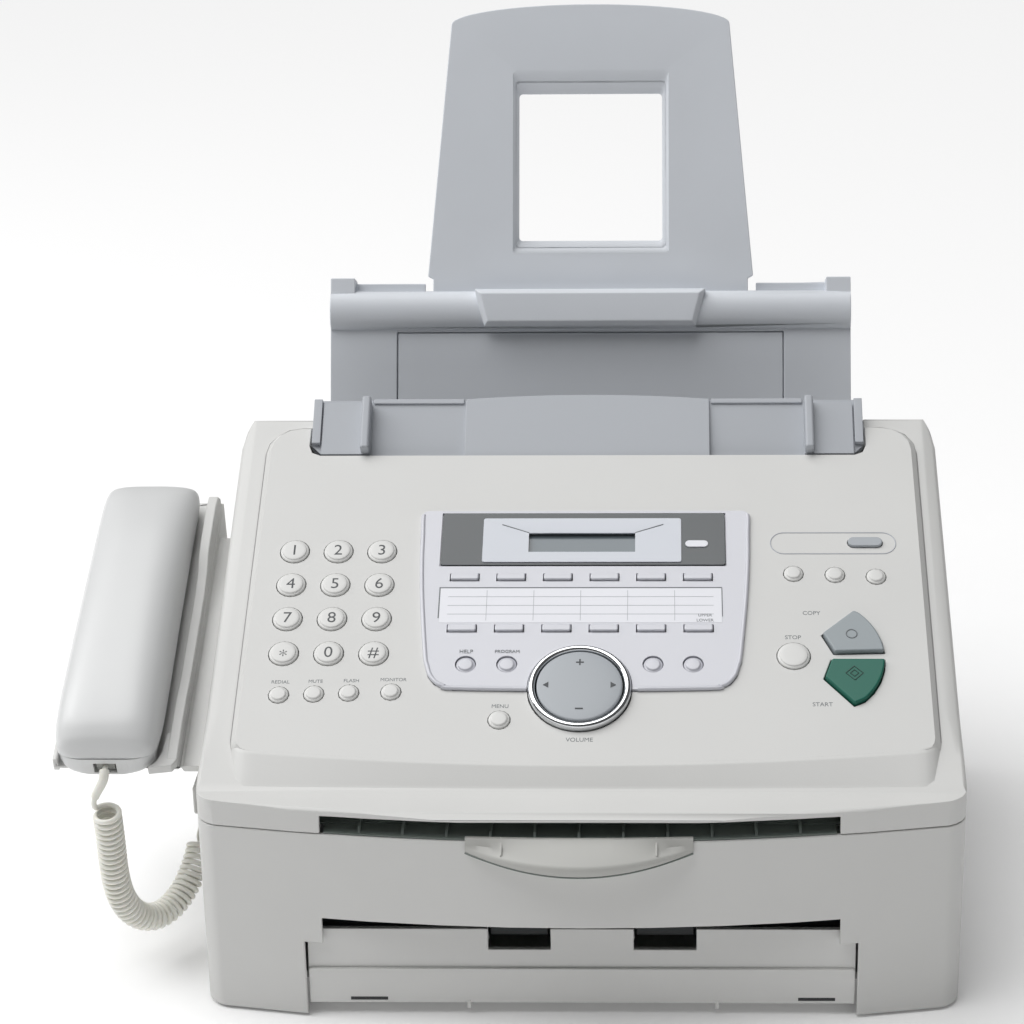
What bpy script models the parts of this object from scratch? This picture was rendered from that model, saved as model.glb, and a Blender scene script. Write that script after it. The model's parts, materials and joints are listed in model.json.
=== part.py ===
"""Desktop laser fax machine with a corded handset, modelled at real size in metres.

The dimensions below are millimetres in the machine's own frame: x = 0 on the body's plane of symmetry,
y = 0 at the most forward point of the front, z = 0 at the chassis datum, DESK_Z below which is the desk.
Every object is moved by ORIGIN and scaled to metres when it is made, so the finished part stands on z = 0
with its box centred on x = y = 0.
"""
import math

import bmesh
import bpy
from mathutils import Matrix, Vector

for old in list(bpy.data.objects):
    bpy.data.objects.remove(old, do_unlink=True)

# Driving dimensions, in millimetres and degrees
HALF_WIDTH = 182.0
FRONT_RADIUS = 855.0
CORNER_RADIUS = 14.0
WALL = 2.6
GAP = 0.35
SEAM_Z = 91.5
DESK_Z = -8.0
COVER_REAR_Y = 243.0
COVER_REAR_RADIUS = 20.0
SIDE_FALL = 3.2
SIDE_FALL_X = 173.0
BODY_REAR_Y = 284.0
TOWER_FRONT_Y = 247.0
TOWER_TOP_Z = 188.0
HINGE_Y = 262.0
HINGE_Z = 180.0
PANEL_SLOPE = 28.0
PANEL_Y = 28.0
PANEL_Z = 110.0
TRAY_SLOPE = 66.0
TRAY_Y = 290.0
TRAY_Z = 212.0
HANDSET_SLOPE = 22.5
HANDSET_X = -226.5
HANDSET_Y = 38.0
HANDSET_Z = 104.0
KEY_TOP = 2.0
KEY_FLANGE_TOP = -7.4
KEY_FLANGE_BOTTOM = -8.7
KEY_CLEAR = 0.5
DIAL_RADIUS = 7.2
SMALL_KEY_RADIUS = 4.8
NAVIGATOR_X = -1.1
NAVIGATOR_S = 53.5
NAVIGATOR_RADIUS = 25.2
NAVIGATOR_BORE = 21.4
CORD_WIRE = 2.6
CORD_COIL_RADIUS = 5.8
CORD_CURLS = 30
CORD_POINTS_PER_CURL = 8
ORIGIN = Vector((-35.4, 185.1, DESK_Z))

SCENE = bpy.context.scene
PARTS = bpy.data.collections.new("fax_machine")
CUTTERS = bpy.data.collections.new("cutters")
SCENE.collection.children.link(PARTS)
SCENE.collection.children.link(CUTTERS)


def material(name, hexa, roughness, metallic=0.0):
    """A Principled material from an sRGB hex colour."""
    mat = bpy.data.materials.new(name)
    mat.use_nodes = True
    shader = mat.node_tree.nodes["Principled BSDF"]
    srgb = [int(hexa[i:i + 2], 16) / 255 for i in (0, 2, 4)]
    linear = [c / 12.92 if c <= 0.04045 else ((c + 0.055) / 1.055) ** 2.4 for c in srgb]
    shader.inputs["Base Color"].default_value = (*linear, 1.0)
    shader.inputs["Roughness"].default_value = roughness
    shader.inputs["Metallic"].default_value = metallic
    return mat


CASING = material("white_abs_casing", "DDDDDB", 0.5)
HANDSET = material("handset_abs", "EAEBEA", 0.38)
TRAY_GREY = material("grey_tray_plastic", "A9AFB4", 0.55)
SILVER = material("silver_fascia", "DCDDE6", 0.35)
DARK_LENS = material("smoked_lens", "6B7073", 0.2)
LCD = material("lcd_glass", "8C9396", 0.25)
KEY_WHITE = material("key_white", "E2E2E0", 0.45)
KEY_GREY = material("key_grey", "A6ADB1", 0.4)
KEY_GREEN = material("key_green", "2F7E6E", 0.4)
CHROME = material("chrome_ring", "D5D7DA", 0.12, 1.0)
CORD = material("cord_pvc", "E6E4DC", 0.5)
CLEAR_PLUG = material("clear_plug", "D9DAD6", 0.2)
RUBBER = material("roller_rubber", "2B2E2F", 0.75)
DRUM_GREEN = material("drum_coating", "3C7F86", 0.2)
TONER_BLACK = material("toner_black_plastic", "26282A", 0.5)
CHASSIS = material("chassis_plastic", "8F9394", 0.6)
STEEL = material("steel", "B9BCBE", 0.35, 1.0)
BOARD = material("circuit_board", "2E5B3C", 0.6)


class Frame:
    """A flat working frame: u along +X, v up a slope of the given angle, n square to it."""

    def __init__(self, x, y, z, slope):
        angle = math.radians(slope)
        self.origin = Vector((x, y, z))
        self.u = Vector((1, 0, 0))
        self.v = Vector((0, math.cos(angle), math.sin(angle)))
        self.n = Vector((0, -math.sin(angle), math.cos(angle)))

    def at(self, u, v, n=0.0):
        return self.origin + self.u * u + self.v * v + self.n * n

    def matrix(self):
        rows = Matrix((self.u, self.v, self.n)).transposed()
        return Matrix.Translation(self.origin) @ rows.to_4x4()


WORLD = Frame(0, 0, 0, 0)
PANEL = Frame(0, PANEL_Y, PANEL_Z, PANEL_SLOPE)
TRAY = Frame(0, TRAY_Y, TRAY_Z, TRAY_SLOPE)
REST = Frame(HANDSET_X, HANDSET_Y, HANDSET_Z, HANDSET_SLOPE)


def box(u0, u1, v0, v1, n0, n1, frame=WORLD, bevel=0.0, segments=2):
    """A box from a primitive cube, with its edges bevelled where asked."""
    bm = bmesh.new()
    bmesh.ops.create_cube(bm, size=1.0)
    centre = Vector(((u0 + u1) / 2, (v0 + v1) / 2, (n0 + n1) / 2))
    bmesh.ops.scale(bm, vec=(u1 - u0, v1 - v0, n1 - n0), verts=bm.verts)
    bmesh.ops.translate(bm, vec=centre, verts=bm.verts)
    if bevel:
        bmesh.ops.bevel(bm, geom=bm.edges[:], offset=bevel, segments=segments, profile=0.5, affect="EDGES")
    bm.transform(frame.matrix())
    return bm


def rod(start, end, radius, sides=16):
    """A capped cylinder between two points."""
    start = Vector(start)
    end = Vector(end)
    bm = bmesh.new()
    depth = (end - start).length
    bmesh.ops.create_cone(bm, cap_ends=True, segments=sides, radius1=radius, radius2=radius, depth=depth)
    turn = (end - start).to_track_quat("Z", "Y").to_matrix().to_4x4()
    bm.transform(Matrix.Translation((start + end) / 2) @ turn)
    return bm


def peg(u, v, n0, n1, radius, frame=PANEL, sides=16):
    """A rod square to a frame."""
    return rod(frame.at(u, v, n0), frame.at(u, v, n1), radius, sides)


def extrude(outline, n0, n1, frame=WORLD, top_inset=0.0, inset_depth=0.0):
    """A flat outline in a frame's (u, v), extruded along n; top_inset draws a chamfer on its upper rim."""
    bm = bmesh.new()
    area = sum(a[0] * b[1] - b[0] * a[1] for a, b in zip(outline, outline[1:] + outline[:1]))
    points = outline if area > 0 else outline[::-1]
    face = bm.faces.new([bm.verts.new((u, v, n0)) for u, v in points])
    rise = n1 - n0 - inset_depth
    for height, inset in ((rise, 0.0), (inset_depth, top_inset)):
        if height <= 0:
            continue
        made = bmesh.ops.extrude_face_region(bm, geom=[face])
        if height != rise and face.is_valid:
            bmesh.ops.delete(bm, geom=[face], context="FACES_ONLY")
        ring = [e for e in made["geom"] if isinstance(e, bmesh.types.BMVert)]
        face = [e for e in made["geom"] if isinstance(e, bmesh.types.BMFace)][0]
        bmesh.ops.translate(bm, vec=(0, 0, height), verts=ring)
        if inset:
            draw_in(face, inset)
    bmesh.ops.recalc_face_normals(bm, faces=bm.faces)
    bm.transform(frame.matrix())
    return bm


def draw_in(face, inset):
    """Moves a face's corners inwards along their bisectors."""
    corners = [loop.vert for loop in face.loops]
    spots = [v.co.copy() for v in corners]
    normal = face.normal.copy()
    face.normal_update()
    normal = face.normal if face.normal.length else normal
    for i, vert in enumerate(corners):
        before = (spots[i] - spots[i - 1]).normalized()
        after = (spots[(i + 1) % len(spots)] - spots[i]).normalized()
        side_a, side_b = normal.cross(before), normal.cross(after)
        bisector = (side_a + side_b).normalized()
        vert.co = spots[i] + bisector * inset / max(0.5, bisector.dot(side_a))


def prism(profile, x0, x1):
    """A (y, z) profile extruded along X."""
    bm = extrude(profile, 0.0, x1 - x0)
    swap = Matrix(((0, 0, 1, x0), (1, 0, 0, 0), (0, 1, 0, 0), (0, 0, 0, 1)))
    bm.transform(swap)
    bmesh.ops.recalc_face_normals(bm, faces=bm.faces)
    return bm


def loft(rings):
    """A closed skin through rings of equal point count, capped at both ends."""
    bm = bmesh.new()
    rows = [[bm.verts.new(p) for p in ring] for ring in rings]
    count = len(rows[0])
    for low, high in zip(rows, rows[1:]):
        for i in range(count):
            j = (i + 1) % count
            bm.faces.new((low[i], low[j], high[j], high[i]))
    bm.faces.new(rows[0][::-1])
    bm.faces.new(rows[-1])
    bmesh.ops.recalc_face_normals(bm, faces=bm.faces)
    return bm


def to_metres(bm, pivot):
    bmesh.ops.translate(bm, vec=-Vector(pivot), verts=bm.verts)
    bmesh.ops.scale(bm, vec=(0.001, 0.001, 0.001), verts=bm.verts)


def place(name, bm, collection, pivot):
    """Makes an object of a bmesh, with its origin on the pivot."""
    to_metres(bm, pivot)
    mesh = bpy.data.meshes.new(name)
    bm.to_mesh(mesh)
    bm.free()
    obj = bpy.data.objects.new(name, mesh)
    obj.location = (Vector(pivot) - ORIGIN) * 0.001
    collection.objects.link(obj)
    return obj


def node(name, bm, mat, pivot=None, smooth=None):
    """One part of the machine."""
    obj = place(name, bm, PARTS, ORIGIN if pivot is None else pivot)
    obj.data.materials.append(mat)
    if smooth:
        obj.data.shade_smooth()
        obj.data.set_sharp_from_angle(angle=math.radians(smooth))
    return obj


def boolean(obj, bm, operation):
    helper = place(f"{operation.lower()}_{obj.name}_{len(obj.modifiers)}", bm, CUTTERS, ORIGIN)
    helper.hide_render = True
    helper.display_type = "WIRE"
    step = obj.modifiers.new(operation.title(), "BOOLEAN")
    step.operation = operation
    step.solver = "EXACT"
    step.object = helper


def cut(obj, *shapes):
    for bm in shapes:
        boolean(obj, bm, "DIFFERENCE")


def join(obj, *shapes):
    for bm in shapes:
        boolean(obj, bm, "UNION")


def merged(*shapes):
    """Several shapes that don't touch, as one cutter."""
    bm = bmesh.new()
    for shape in shapes:
        mesh = bpy.data.meshes.new("piece")
        shape.to_mesh(mesh)
        shape.free()
        bm.from_mesh(mesh)
        bpy.data.meshes.remove(mesh)
    return bm


def arc(cx, cy, radius, start, end, steps):
    """Points of a circular arc, in degrees."""
    turn = [math.radians(start + (end - start) * i / steps) for i in range(steps + 1)]
    return [(cx + radius * math.cos(a), cy + radius * math.sin(a)) for a in turn]


def rounded(u0, u1, v0, v1, radius, steps=3):
    """A rounded rectangle."""
    return (
        arc(u1 - radius, v0 + radius, radius, -90, 0, steps)
        + arc(u1 - radius, v1 - radius, radius, 0, 90, steps)
        + arc(u0 + radius, v1 - radius, radius, 90, 180, steps)
        + arc(u0 + radius, v0 + radius, radius, 180, 270, steps)
    )


def front_y(x):
    return x * x / (2 * FRONT_RADIUS)


def plan(inset, rear, steps=10, rear_radius=0.0):
    """The body's outline from above: bowed front, rounded front corners, square or rounded rear corners."""
    half = HALF_WIDTH - inset
    flat = HALF_WIDTH - CORNER_RADIUS
    radius = CORNER_RADIUS - inset
    front = [(-flat + 2 * flat * i / steps, 0) for i in range(steps + 1)]
    front = [(x, front_y(x) + inset) for x, _ in front]
    corner_y = front_y(flat) + CORNER_RADIUS
    right = arc(flat, corner_y, radius, -70, 0, 4)
    left = arc(-flat, corner_y, radius, -180, -110, 4)
    rear_right = [(half, rear)]
    rear_left = [(-half, rear)]
    if rear_radius:
        rear_right = arc(half - rear_radius, rear - rear_radius, rear_radius, 0, 90, 4)
        rear_left = arc(rear_radius - half, rear - rear_radius, rear_radius, 90, 180, 4)
    return left + front[1:-1] + right + rear_right + rear_left


# Upper cover: the sloping operation panel with its side skirts, hinged at the rear
cover_pivot = (0, HINGE_Y, HINGE_Z)
ledge_slope = math.tan(math.radians(PANEL_SLOPE))
ledge_rear = 236.0
ledge_front = (26.0, 104.8)
ledge_top = (ledge_rear, ledge_front[1] + (ledge_rear - ledge_front[0]) * ledge_slope)
cover_block = extrude(plan(0, COVER_REAR_Y, rear_radius=COVER_REAR_RADIUS), SEAM_Z + 0.25, 216.0)
upper_cover = node("upper_cover", cover_block, CASING, cover_pivot)
sky = [(-30, 97.5), (0.5, 98.5), (2.5, 102.0), (7.0, 104.3), ledge_front, ledge_top,
       (COVER_REAR_Y + 3, ledge_top[1] - 6), (COVER_REAR_Y + 3, 330), (-30, 330)]
cut(upper_cover, prism(sky, -200, 200))

# The ledge falls away along both sides, from nothing at the front to its full depth
panel_angle = math.radians(PANEL_SLOPE)
ledge_n = (ledge_front[1] - PANEL_Z) * math.cos(panel_angle)
ledge_n -= (ledge_front[0] - PANEL_Y) * math.sin(panel_angle)
fall_outer = HALF_WIDTH + 1.0
for side in (-1, 1):
    fall_rings = []
    for v, rise, drop in ((-8.0, 2.9, -2.4), (45.0, 0.6, SIDE_FALL), (260.0, 0.6, SIDE_FALL)):
        corners = [(SIDE_FALL_X, ledge_n + rise), (fall_outer, ledge_n - drop)]
        corners += [(fall_outer, 12.0), (SIDE_FALL_X, 12.0)]
        fall_rings.append([PANEL.at(side * u, v, n) for u, n in corners])
    cut(upper_cover, loft(fall_rings))


def island_edge(x):
    return 6.5 + x * x / 3400.0


ISLAND_LEFT = -168.0
ISLAND_RIGHT = 171.5
ISLAND_REAR = 227.5
island_x = [ISLAND_LEFT + 10 + (ISLAND_RIGHT - ISLAND_LEFT - 20) * i / 10 for i in range(11)]
island = [(x, island_edge(x)) for x in island_x]
island += arc(ISLAND_RIGHT - 10, island_edge(ISLAND_RIGHT - 10) + 10, 10, -70, 0, 3)
island += arc(ISLAND_RIGHT - 18, ISLAND_REAR - 18, 18, 0, 90, 4)
island += arc(ISLAND_LEFT + 18, ISLAND_REAR - 18, 18, 90, 180, 4)
island += arc(ISLAND_LEFT + 10, island_edge(ISLAND_LEFT + 10) + 10, 10, 180, 250, 3)
join(upper_cover, extrude(island, -9.0, 0.0, PANEL, 3.2, 3.6))
hollow_half = HALF_WIDTH - WALL - 0.8
roof = 3.5
front_cavity = extrude(plan(WALL + 0.8, COVER_REAR_Y - 5), 80, 99.6)
cavity_front = 30.0
cavity_rear = COVER_REAR_Y - 3.2
corner_start = COVER_REAR_Y - COVER_REAR_RADIUS - 4.0
corner_half = HALF_WIDTH - COVER_REAR_RADIUS + 3.0


def roof_z(y):
    """The height of the cover's inner roof at a depth."""
    return ledge_front[1] + (min(y, ledge_rear) - ledge_front[0]) * ledge_slope - roof


cavity = [(cavity_front, 80), (cavity_front, roof_z(cavity_front)), (corner_start, roof_z(corner_start)),
          (corner_start, 80)]
rear_cavity = [(corner_start - 8, 80), (corner_start - 8, roof_z(corner_start - 8)),
               (ledge_rear, roof_z(ledge_rear)), (cavity_rear, roof_z(ledge_rear)), (cavity_rear, 80)]
cut(upper_cover, front_cavity, prism(cavity, -hollow_half, hollow_half))
cut(upper_cover, prism(rear_cavity, -corner_half, corner_half))
cut(upper_cover, box(-121.5, 121.5, -10, 30, 70, 101.0))
OPENING_FRONT_Y = 209.5
cut(upper_cover, extrude(rounded(-145.0, 145.0, OPENING_FRONT_Y, 300, 6, 2), 150, 300))
for side in (-1, 1):
    lug_x = sorted((side * 134.0, side * 143.0))
    arm = [(226, 186), (236, 205), (242, 204), (HINGE_Y + 6, HINGE_Z + 3), (HINGE_Y + 4, HINGE_Z - 6),
           (HINGE_Y - 4, HINGE_Z - 6)]
    link_x = sorted((side * 134.0, side * 172.0))
    join(upper_cover, prism(arm, *lug_x), box(*link_x, 226.5, 234, 196, 205))
    bore_x = sorted((side * 120.0, side * 160.0))
    cut(upper_cover, rod((bore_x[0], HINGE_Y, HINGE_Z), (bore_x[1], HINGE_Y, HINGE_Z), 3.6, 12))

# Keys: each cap stands on a flange under the panel and is pressed along the panel's normal


def key(name, mat, shape, flange, spot):
    """A key cap with its flange below the panel."""
    obj = node(name, shape, mat, PANEL.at(*spot), 35)
    join(obj, flange)
    return obj


def round_key(name, mat, u, v, radius, sides=18):
    circle = arc(u, v, radius, 0, 360 - 360 / sides, sides - 1)
    cap = extrude(circle, KEY_FLANGE_BOTTOM + 0.3, KEY_TOP, PANEL, 0.8, 0.8)
    flange = peg(u, v, KEY_FLANGE_BOTTOM, KEY_FLANGE_TOP, radius + 1.6, sides=10)
    return key(name, mat, cap, flange, (u, v))


def round_hole(u, v, radius, sides=18):
    return peg(u, v, -14, 8, radius + KEY_CLEAR, sides=sides)


DIAL_X = (-146.5, -124.4, -102.3)
DIAL_S = (140.0, 118.3, 96.6, 75.0)
DIAL_NAMES = ("1", "2", "3", "4", "5", "6", "7", "8", "9", "star", "0", "hash")
dial_holes = []
for index, label in enumerate(DIAL_NAMES):
    spot = (DIAL_X[index % 3], DIAL_S[index // 3])
    round_key(f"dial_key_{label}", KEY_WHITE, *spot, DIAL_RADIUS)
    dial_holes.append(round_hole(*spot, DIAL_RADIUS))
cut(upper_cover, merged(*dial_holes))


def key_strip(name, mat, spots, radius, runner):
    """Small round keys moulded on one runner."""
    strip = node(name, runner, mat, PANEL.at(*spots[0]), 35)
    for u, v in spots:
        circle = arc(u, v, radius, 0, 330, 11)
        join(strip, extrude(circle, KEY_FLANGE_BOTTOM + 0.4, KEY_TOP - 0.4, PANEL, 0.6, 0.6))
    return strip


CALL_SPOTS = ((-146.7, 49.8), (-129.7, 50.4), (-112.8, 51.0), (-92.4, 51.6))
FEATURE_SPOTS = ((104.5, 125.3), (125.2, 124.6), (145.6, 123.4))
FASCIA_SPOTS = ((-56.9, 67.7), (-36.8, 67.7), (34.4, 67.7), (53.9, 67.7))
key_strip("call_keys", KEY_WHITE, CALL_SPOTS, SMALL_KEY_RADIUS,
          box(-153, -86, 46, 55, KEY_FLANGE_BOTTOM, KEY_FLANGE_TOP, PANEL))
key_strip("feature_keys", KEY_WHITE, FEATURE_SPOTS, SMALL_KEY_RADIUS,
          box(98, 152, 119.5, 129.5, KEY_FLANGE_BOTTOM, KEY_FLANGE_TOP, PANEL))
runner = [(-62, 63), (-31, 63), (-31, 82), (29, 82), (29, 63), (59, 63), (59, 84.6), (-62, 84.6)]
key_strip("fascia_keys", SILVER, FASCIA_SPOTS, SMALL_KEY_RADIUS,
          extrude(runner, KEY_FLANGE_BOTTOM, KEY_FLANGE_TOP, PANEL))
cut(upper_cover, merged(*[round_hole(u, v, SMALL_KEY_RADIUS, 12) for u, v in CALL_SPOTS + FEATURE_SPOTS]))

MENU_SPOT = (-39.4, 34.9)
STOP_SPOT = (102.9, 73.5)
round_key("menu_key", KEY_WHITE, *MENU_SPOT, 5.2, 14)
round_key("stop_key", KEY_WHITE, *STOP_SPOT, 8.0)
cut(upper_cover, round_hole(*MENU_SPOT, 5.2, 14), round_hole(*STOP_SPOT, 8.0))

pill = rounded(132.6, 149.8, 142.6, 148.4, 2.8, 3)
pill_hole = rounded(132.1, 150.3, 142.1, 148.9, 3.3, 3)
key("auto_answer_key", KEY_GREY, extrude(pill, KEY_FLANGE_BOTTOM + 0.3, KEY_TOP - 0.6, PANEL, 0.6, 0.6),
    box(131.4, 151, 141.4, 149.6, KEY_FLANGE_BOTTOM, KEY_FLANGE_TOP, PANEL), (141.2, 145.5))
cut(upper_cover, extrude(pill_hole, -14, 8, PANEL))

# The two start keys share one fan: copy above, fax below
FAN = (110.0, 72.5)
copy_outline = [(117.5, 86.5), (133.2, 100.6)] + arc(*FAN, 37.0, 46, 5, 4) + [(122.9, 75.0)]
fax_outline = [(121.4, 70.6)] + arc(*FAN, 37.0, -3, -45, 4) + [(131.2, 43.8), (117.6, 59.5)]


def grown(outline, by):
    """An outline moved outwards by a margin."""
    centre = Vector((sum(p[0] for p in outline), sum(p[1] for p in outline))) / len(outline)
    return [tuple(Vector(p) + (Vector(p) - centre).normalized() * by) for p in outline]


START_KEYS = (("copy_start_key", KEY_GREY, copy_outline), ("fax_start_key", KEY_GREEN, fax_outline))
for name, mat, outline in START_KEYS:
    middle = (sum(p[0] for p in outline) / len(outline), sum(p[1] for p in outline) / len(outline))
    key(name, mat, extrude(outline, KEY_FLANGE_BOTTOM + 0.3, KEY_TOP + 0.4, PANEL, 0.8, 0.8),
        peg(*middle, KEY_FLANGE_BOTTOM, KEY_FLANGE_TOP, 9.5, sides=12), middle)
    cut(upper_cover, extrude(grown(outline, 0.8), -14, 8, PANEL))

# Station keys: two rows of six bars on one moulded frame, through the silver fascia
STATION_X = [-59.7 + 23.3 * i for i in range(6)]
STATION_S = (122.2, 89.7)
station_frame = box(-73, 70.5, 87, 125, KEY_FLANGE_BOTTOM, KEY_FLANGE_TOP, PANEL)
station_keys = node("station_keys", station_frame, SILVER, PANEL.at(STATION_X[0], STATION_S[0]))
cut(station_keys, box(-68, 65.5, 94.5, 117.5, -12, -3, PANEL))
station_holes = []
for s in STATION_S:
    for x in STATION_X:
        bar = rounded(x - 7.0, x + 7.0, s - 2.0, s + 2.0, 0.8, 1)
        join(station_keys, extrude(bar, KEY_FLANGE_BOTTOM + 0.4, 2.6, PANEL, 0.4, 0.4))
        station_holes.append((x - 7.5, x + 7.5, s - 2.5, s + 2.5))

# Silver fascia: a tapered plate let into the panel, with the display window and the navigator's bite
FASCIA_TOP_S = 166.0
FASCIA_LOW_S = 52.0
FASCIA_SIDE = [(80.5, FASCIA_TOP_S), (82.9, 163.0), (82.3, 135.0), (80.3, 103.0), (77.3, 72.7), (74.4, 61.0),
               (71.2, 56.4), (62.0, 53.2)]
FASCIA_MIDDLE_S = 109.0
fascia_outline = [(-u, s) for u, s in FASCIA_SIDE] + [(0, FASCIA_LOW_S)] + FASCIA_SIDE[::-1]
fascia_hole = [(u * 1.005, FASCIA_MIDDLE_S + (s - FASCIA_MIDDLE_S) * 1.007) for u, s in fascia_outline]
cut(upper_cover, extrude(fascia_hole, -2.4, 8, PANEL))
panel_fascia = node("panel_fascia", extrude(fascia_outline, -2.05, 1.3, PANEL, 0.8, 0.8), SILVER)
cut(panel_fascia, peg(NAVIGATOR_X, NAVIGATOR_S, -8, 8, NAVIGATOR_RADIUS + GAP, sides=40))
cut(panel_fascia, merged(*[box(*hole, -8, 8, PANEL) for hole in station_holes]))
cut(panel_fascia, merged(*[round_hole(u, v, SMALL_KEY_RADIUS, 12) for u, v in FASCIA_SPOTS]))
cut(panel_fascia, box(-72.8, 71.2, 129.4, 164.4, 0.2, 4, PANEL))
cut(panel_fascia, box(-34.0, 31.0, 136.5, 155.5, -8, 4, PANEL))
cut(upper_cover, merged(*[box(*hole, -14, 2, PANEL) for hole in station_holes]))
cut(upper_cover, merged(*[round_hole(u, v, SMALL_KEY_RADIUS, 12) for u, v in FASCIA_SPOTS]))
cut(upper_cover, box(-34.0, 31.0, 136.5, 155.5, -14, 2, PANEL))
cut(upper_cover, peg(NAVIGATOR_X, NAVIGATOR_S, -14, 8, NAVIGATOR_RADIUS + GAP, sides=40))

# Display: a smoked lens with a window over the liquid crystal module
display_lens = node("display_lens", box(-72.4, 70.8, 129.8, 164.0, 0.55, 1.9, PANEL), DARK_LENS)
cut(display_lens, box(-29.0, 26.0, 139.6, 152.4, -1, 4, PANEL))
node("lcd_module", box(-33.5, 30.5, 137.0, 155.0, -9.6, 0.1, PANEL), LCD)

# Navigator: a chrome ring round a rocker disc that tips about two crossed axes
ring_profile = [(NAVIGATOR_BORE, -6.0), (NAVIGATOR_RADIUS, -6.0), (NAVIGATOR_RADIUS, 2.2), (24.2, 3.6),
                (22.6, 3.6), (NAVIGATOR_BORE, 2.4)]


def turned(profile, u, v, sides, frame=PANEL):
    """A (radius, height) profile swept round a frame's normal."""
    rings = []
    for i in range(sides):
        angle = 2 * math.pi * i / sides
        rings.append([frame.at(u + r * math.cos(angle), v + r * math.sin(angle), h) for r, h in profile])
    bm = bmesh.new()
    rows = [[bm.verts.new(p) for p in ring] for ring in rings]
    for a, b in zip(rows, rows[1:] + rows[:1]):
        for i in range(len(profile)):
            j = (i + 1) % len(profile)
            bm.faces.new((a[i], a[j], b[j], b[i]))
    bmesh.ops.recalc_face_normals(bm, faces=bm.faces)
    return bm


def dome(profile, u, v, sides, frame=PANEL):
    """A turned solid closed on its axis: rings of (radius, height) from the bottom up."""
    turns = [2 * math.pi * i / sides for i in range(sides)]
    rings = []
    for r, h in profile:
        rings.append([frame.at(u + r * math.cos(a), v + r * math.sin(a), h) for a in turns])
    return loft(rings)


node("navigator_ring", turned(ring_profile, NAVIGATOR_X, NAVIGATOR_S, 40), CHROME, smooth=30)
disc_profile = [(18.5, -3.6), (20.4, -2.6), (20.4, 2.0), (19.4, 3.0), (12.0, 3.7), (4.0, 3.9)]
TILT_PIVOT = PANEL.at(NAVIGATOR_X, NAVIGATOR_S, -4.5)
node("navigator_disc", dome(disc_profile, NAVIGATOR_X, NAVIGATOR_S, 36), KEY_GREY, TILT_PIVOT, 30)
gimbal_profile = [(13, -9.4), (13, -6.6), (9, -6.2), (4, -5.2)]
node("navigator_gimbal", dome(gimbal_profile, NAVIGATOR_X, NAVIGATOR_S, 20), CHASSIS, TILT_PIVOT)

# Key board: the circuit board under the panel that carries the contacts
node("key_board", box(-160, 160, 26, 160, -12.2, -10.8, PANEL), BOARD)

# Document tray: the grey shelf behind the panel that leans back, with its two sliding guides
DOC = Frame(0, 210.5, 203.6, 40.0)
shelf = [(-136.5, 0.2), (136.5, 0.2), (143.9, 7.5), (143.9, 36.0), (-143.9, 36.0), (-143.9, 7.5)]
document_tray = node("document_tray", extrude(shelf, -3.2, 0, DOC), TRAY_GREY)
crown = [(-64, 1.0), (64, 1.0)] + [(x, 38.6 - x * x / 1600.0) for x in (64, 32, 0, -32, -64)]
join(document_tray, extrude(crown, -3.0, 1.2, DOC))
for side in (-1, 1):
    ear_x = sorted((side * 126.0, side * 129.5))
    ear = [(186, 161), (198, 161), (222, 196), (222, 210.5), (214.6, 203.6), (211, 194), (186, 176)]
    join(document_tray, prism(ear, *ear_x))
    end_x = sorted((side * 139.5, side * 143.9))
    join(document_tray, box(*end_x, 8.5, 35.0, -3.0, 3.0, DOC))
cut(document_tray, rod((-140, 192, 167), (140, 192, 167), 3.2, 12))
for name, side in (("document_guide_left", -1), ("document_guide_right", 1)):
    plate_x = sorted((side * 113.4, side * 138.8))
    fin_x = sorted((side * 113.4, side * 118.0))
    guide = node(name, box(*plate_x, 2.0, 33.0, 0.35, 2.2, DOC), TRAY_GREY, DOC.at(side * 113.4, 17, 1))
    join(guide, box(*fin_x, 2.4, 34.0, 0.8, 9.0, DOC, 0.8, 1))

# Document feed: the roller under the shelf and the image sensor bar under the panel
FEED = (192.0, 167.0)
feed = node("document_feed_roller", rod((-131, *FEED), (131, *FEED), 2.8, 12), RUBBER, (0, *FEED), 30)
join(feed, rod((-30, *FEED), (30, *FEED), 9.0, 20))
node("image_sensor", box(-hollow_half + 0.4, hollow_half - 0.4, 66, 84, 104, 113), TONER_BLACK)

# Lower casing: the outer walls up to the seam, with the rear towers that carry the cover hinge
lower_casing = node("lower_casing", extrude(plan(0, BODY_REAR_Y), DESK_Z + 1.5, SEAM_Z - 0.25), CASING)
cut(lower_casing, extrude(plan(WALL, BODY_REAR_Y - WALL), -20, 120))
for side in (-1, 1):
    tower_x = sorted((side * 149.0, side * 181.6))
    tower = box(*tower_x, TOWER_FRONT_Y, BODY_REAR_Y - 0.2, 80, TOWER_TOP_Z, bevel=1.5, segments=1)
    join(lower_casing, tower)
    pin_x = sorted((side * 134.5, side * 152.0))
    join(lower_casing, rod((pin_x[0], HINGE_Y, HINGE_Z), (pin_x[1], HINGE_Y, HINGE_Z), 3.2, 12))
REAR_WALL_TOP = 160.0
join(lower_casing, box(-150.0, 150.0, BODY_REAR_Y - WALL, BODY_REAR_Y - 0.2, 88, REAR_WALL_TOP))
cut(lower_casing, box(-122.6, 122.6, -20, 45, 30, 46.3), box(-131.5, 131.5, -20, 45, -20, 32.8))
cut(lower_casing, box(-120.2, 120.2, 270, 300, 11.6, 75.4))
cut(lower_casing, box(-171, -141, 270, 300, 19.6, 45.4))

# The handset jack: a small housing on the left wall, open to the front
join(lower_casing, box(-201, -180.5, 118, 140, 44, 60, bevel=1.0, segments=1))
cut(lower_casing, box(-197.0, -189.0, 110, 131, 48.2, 55.8))

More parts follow.
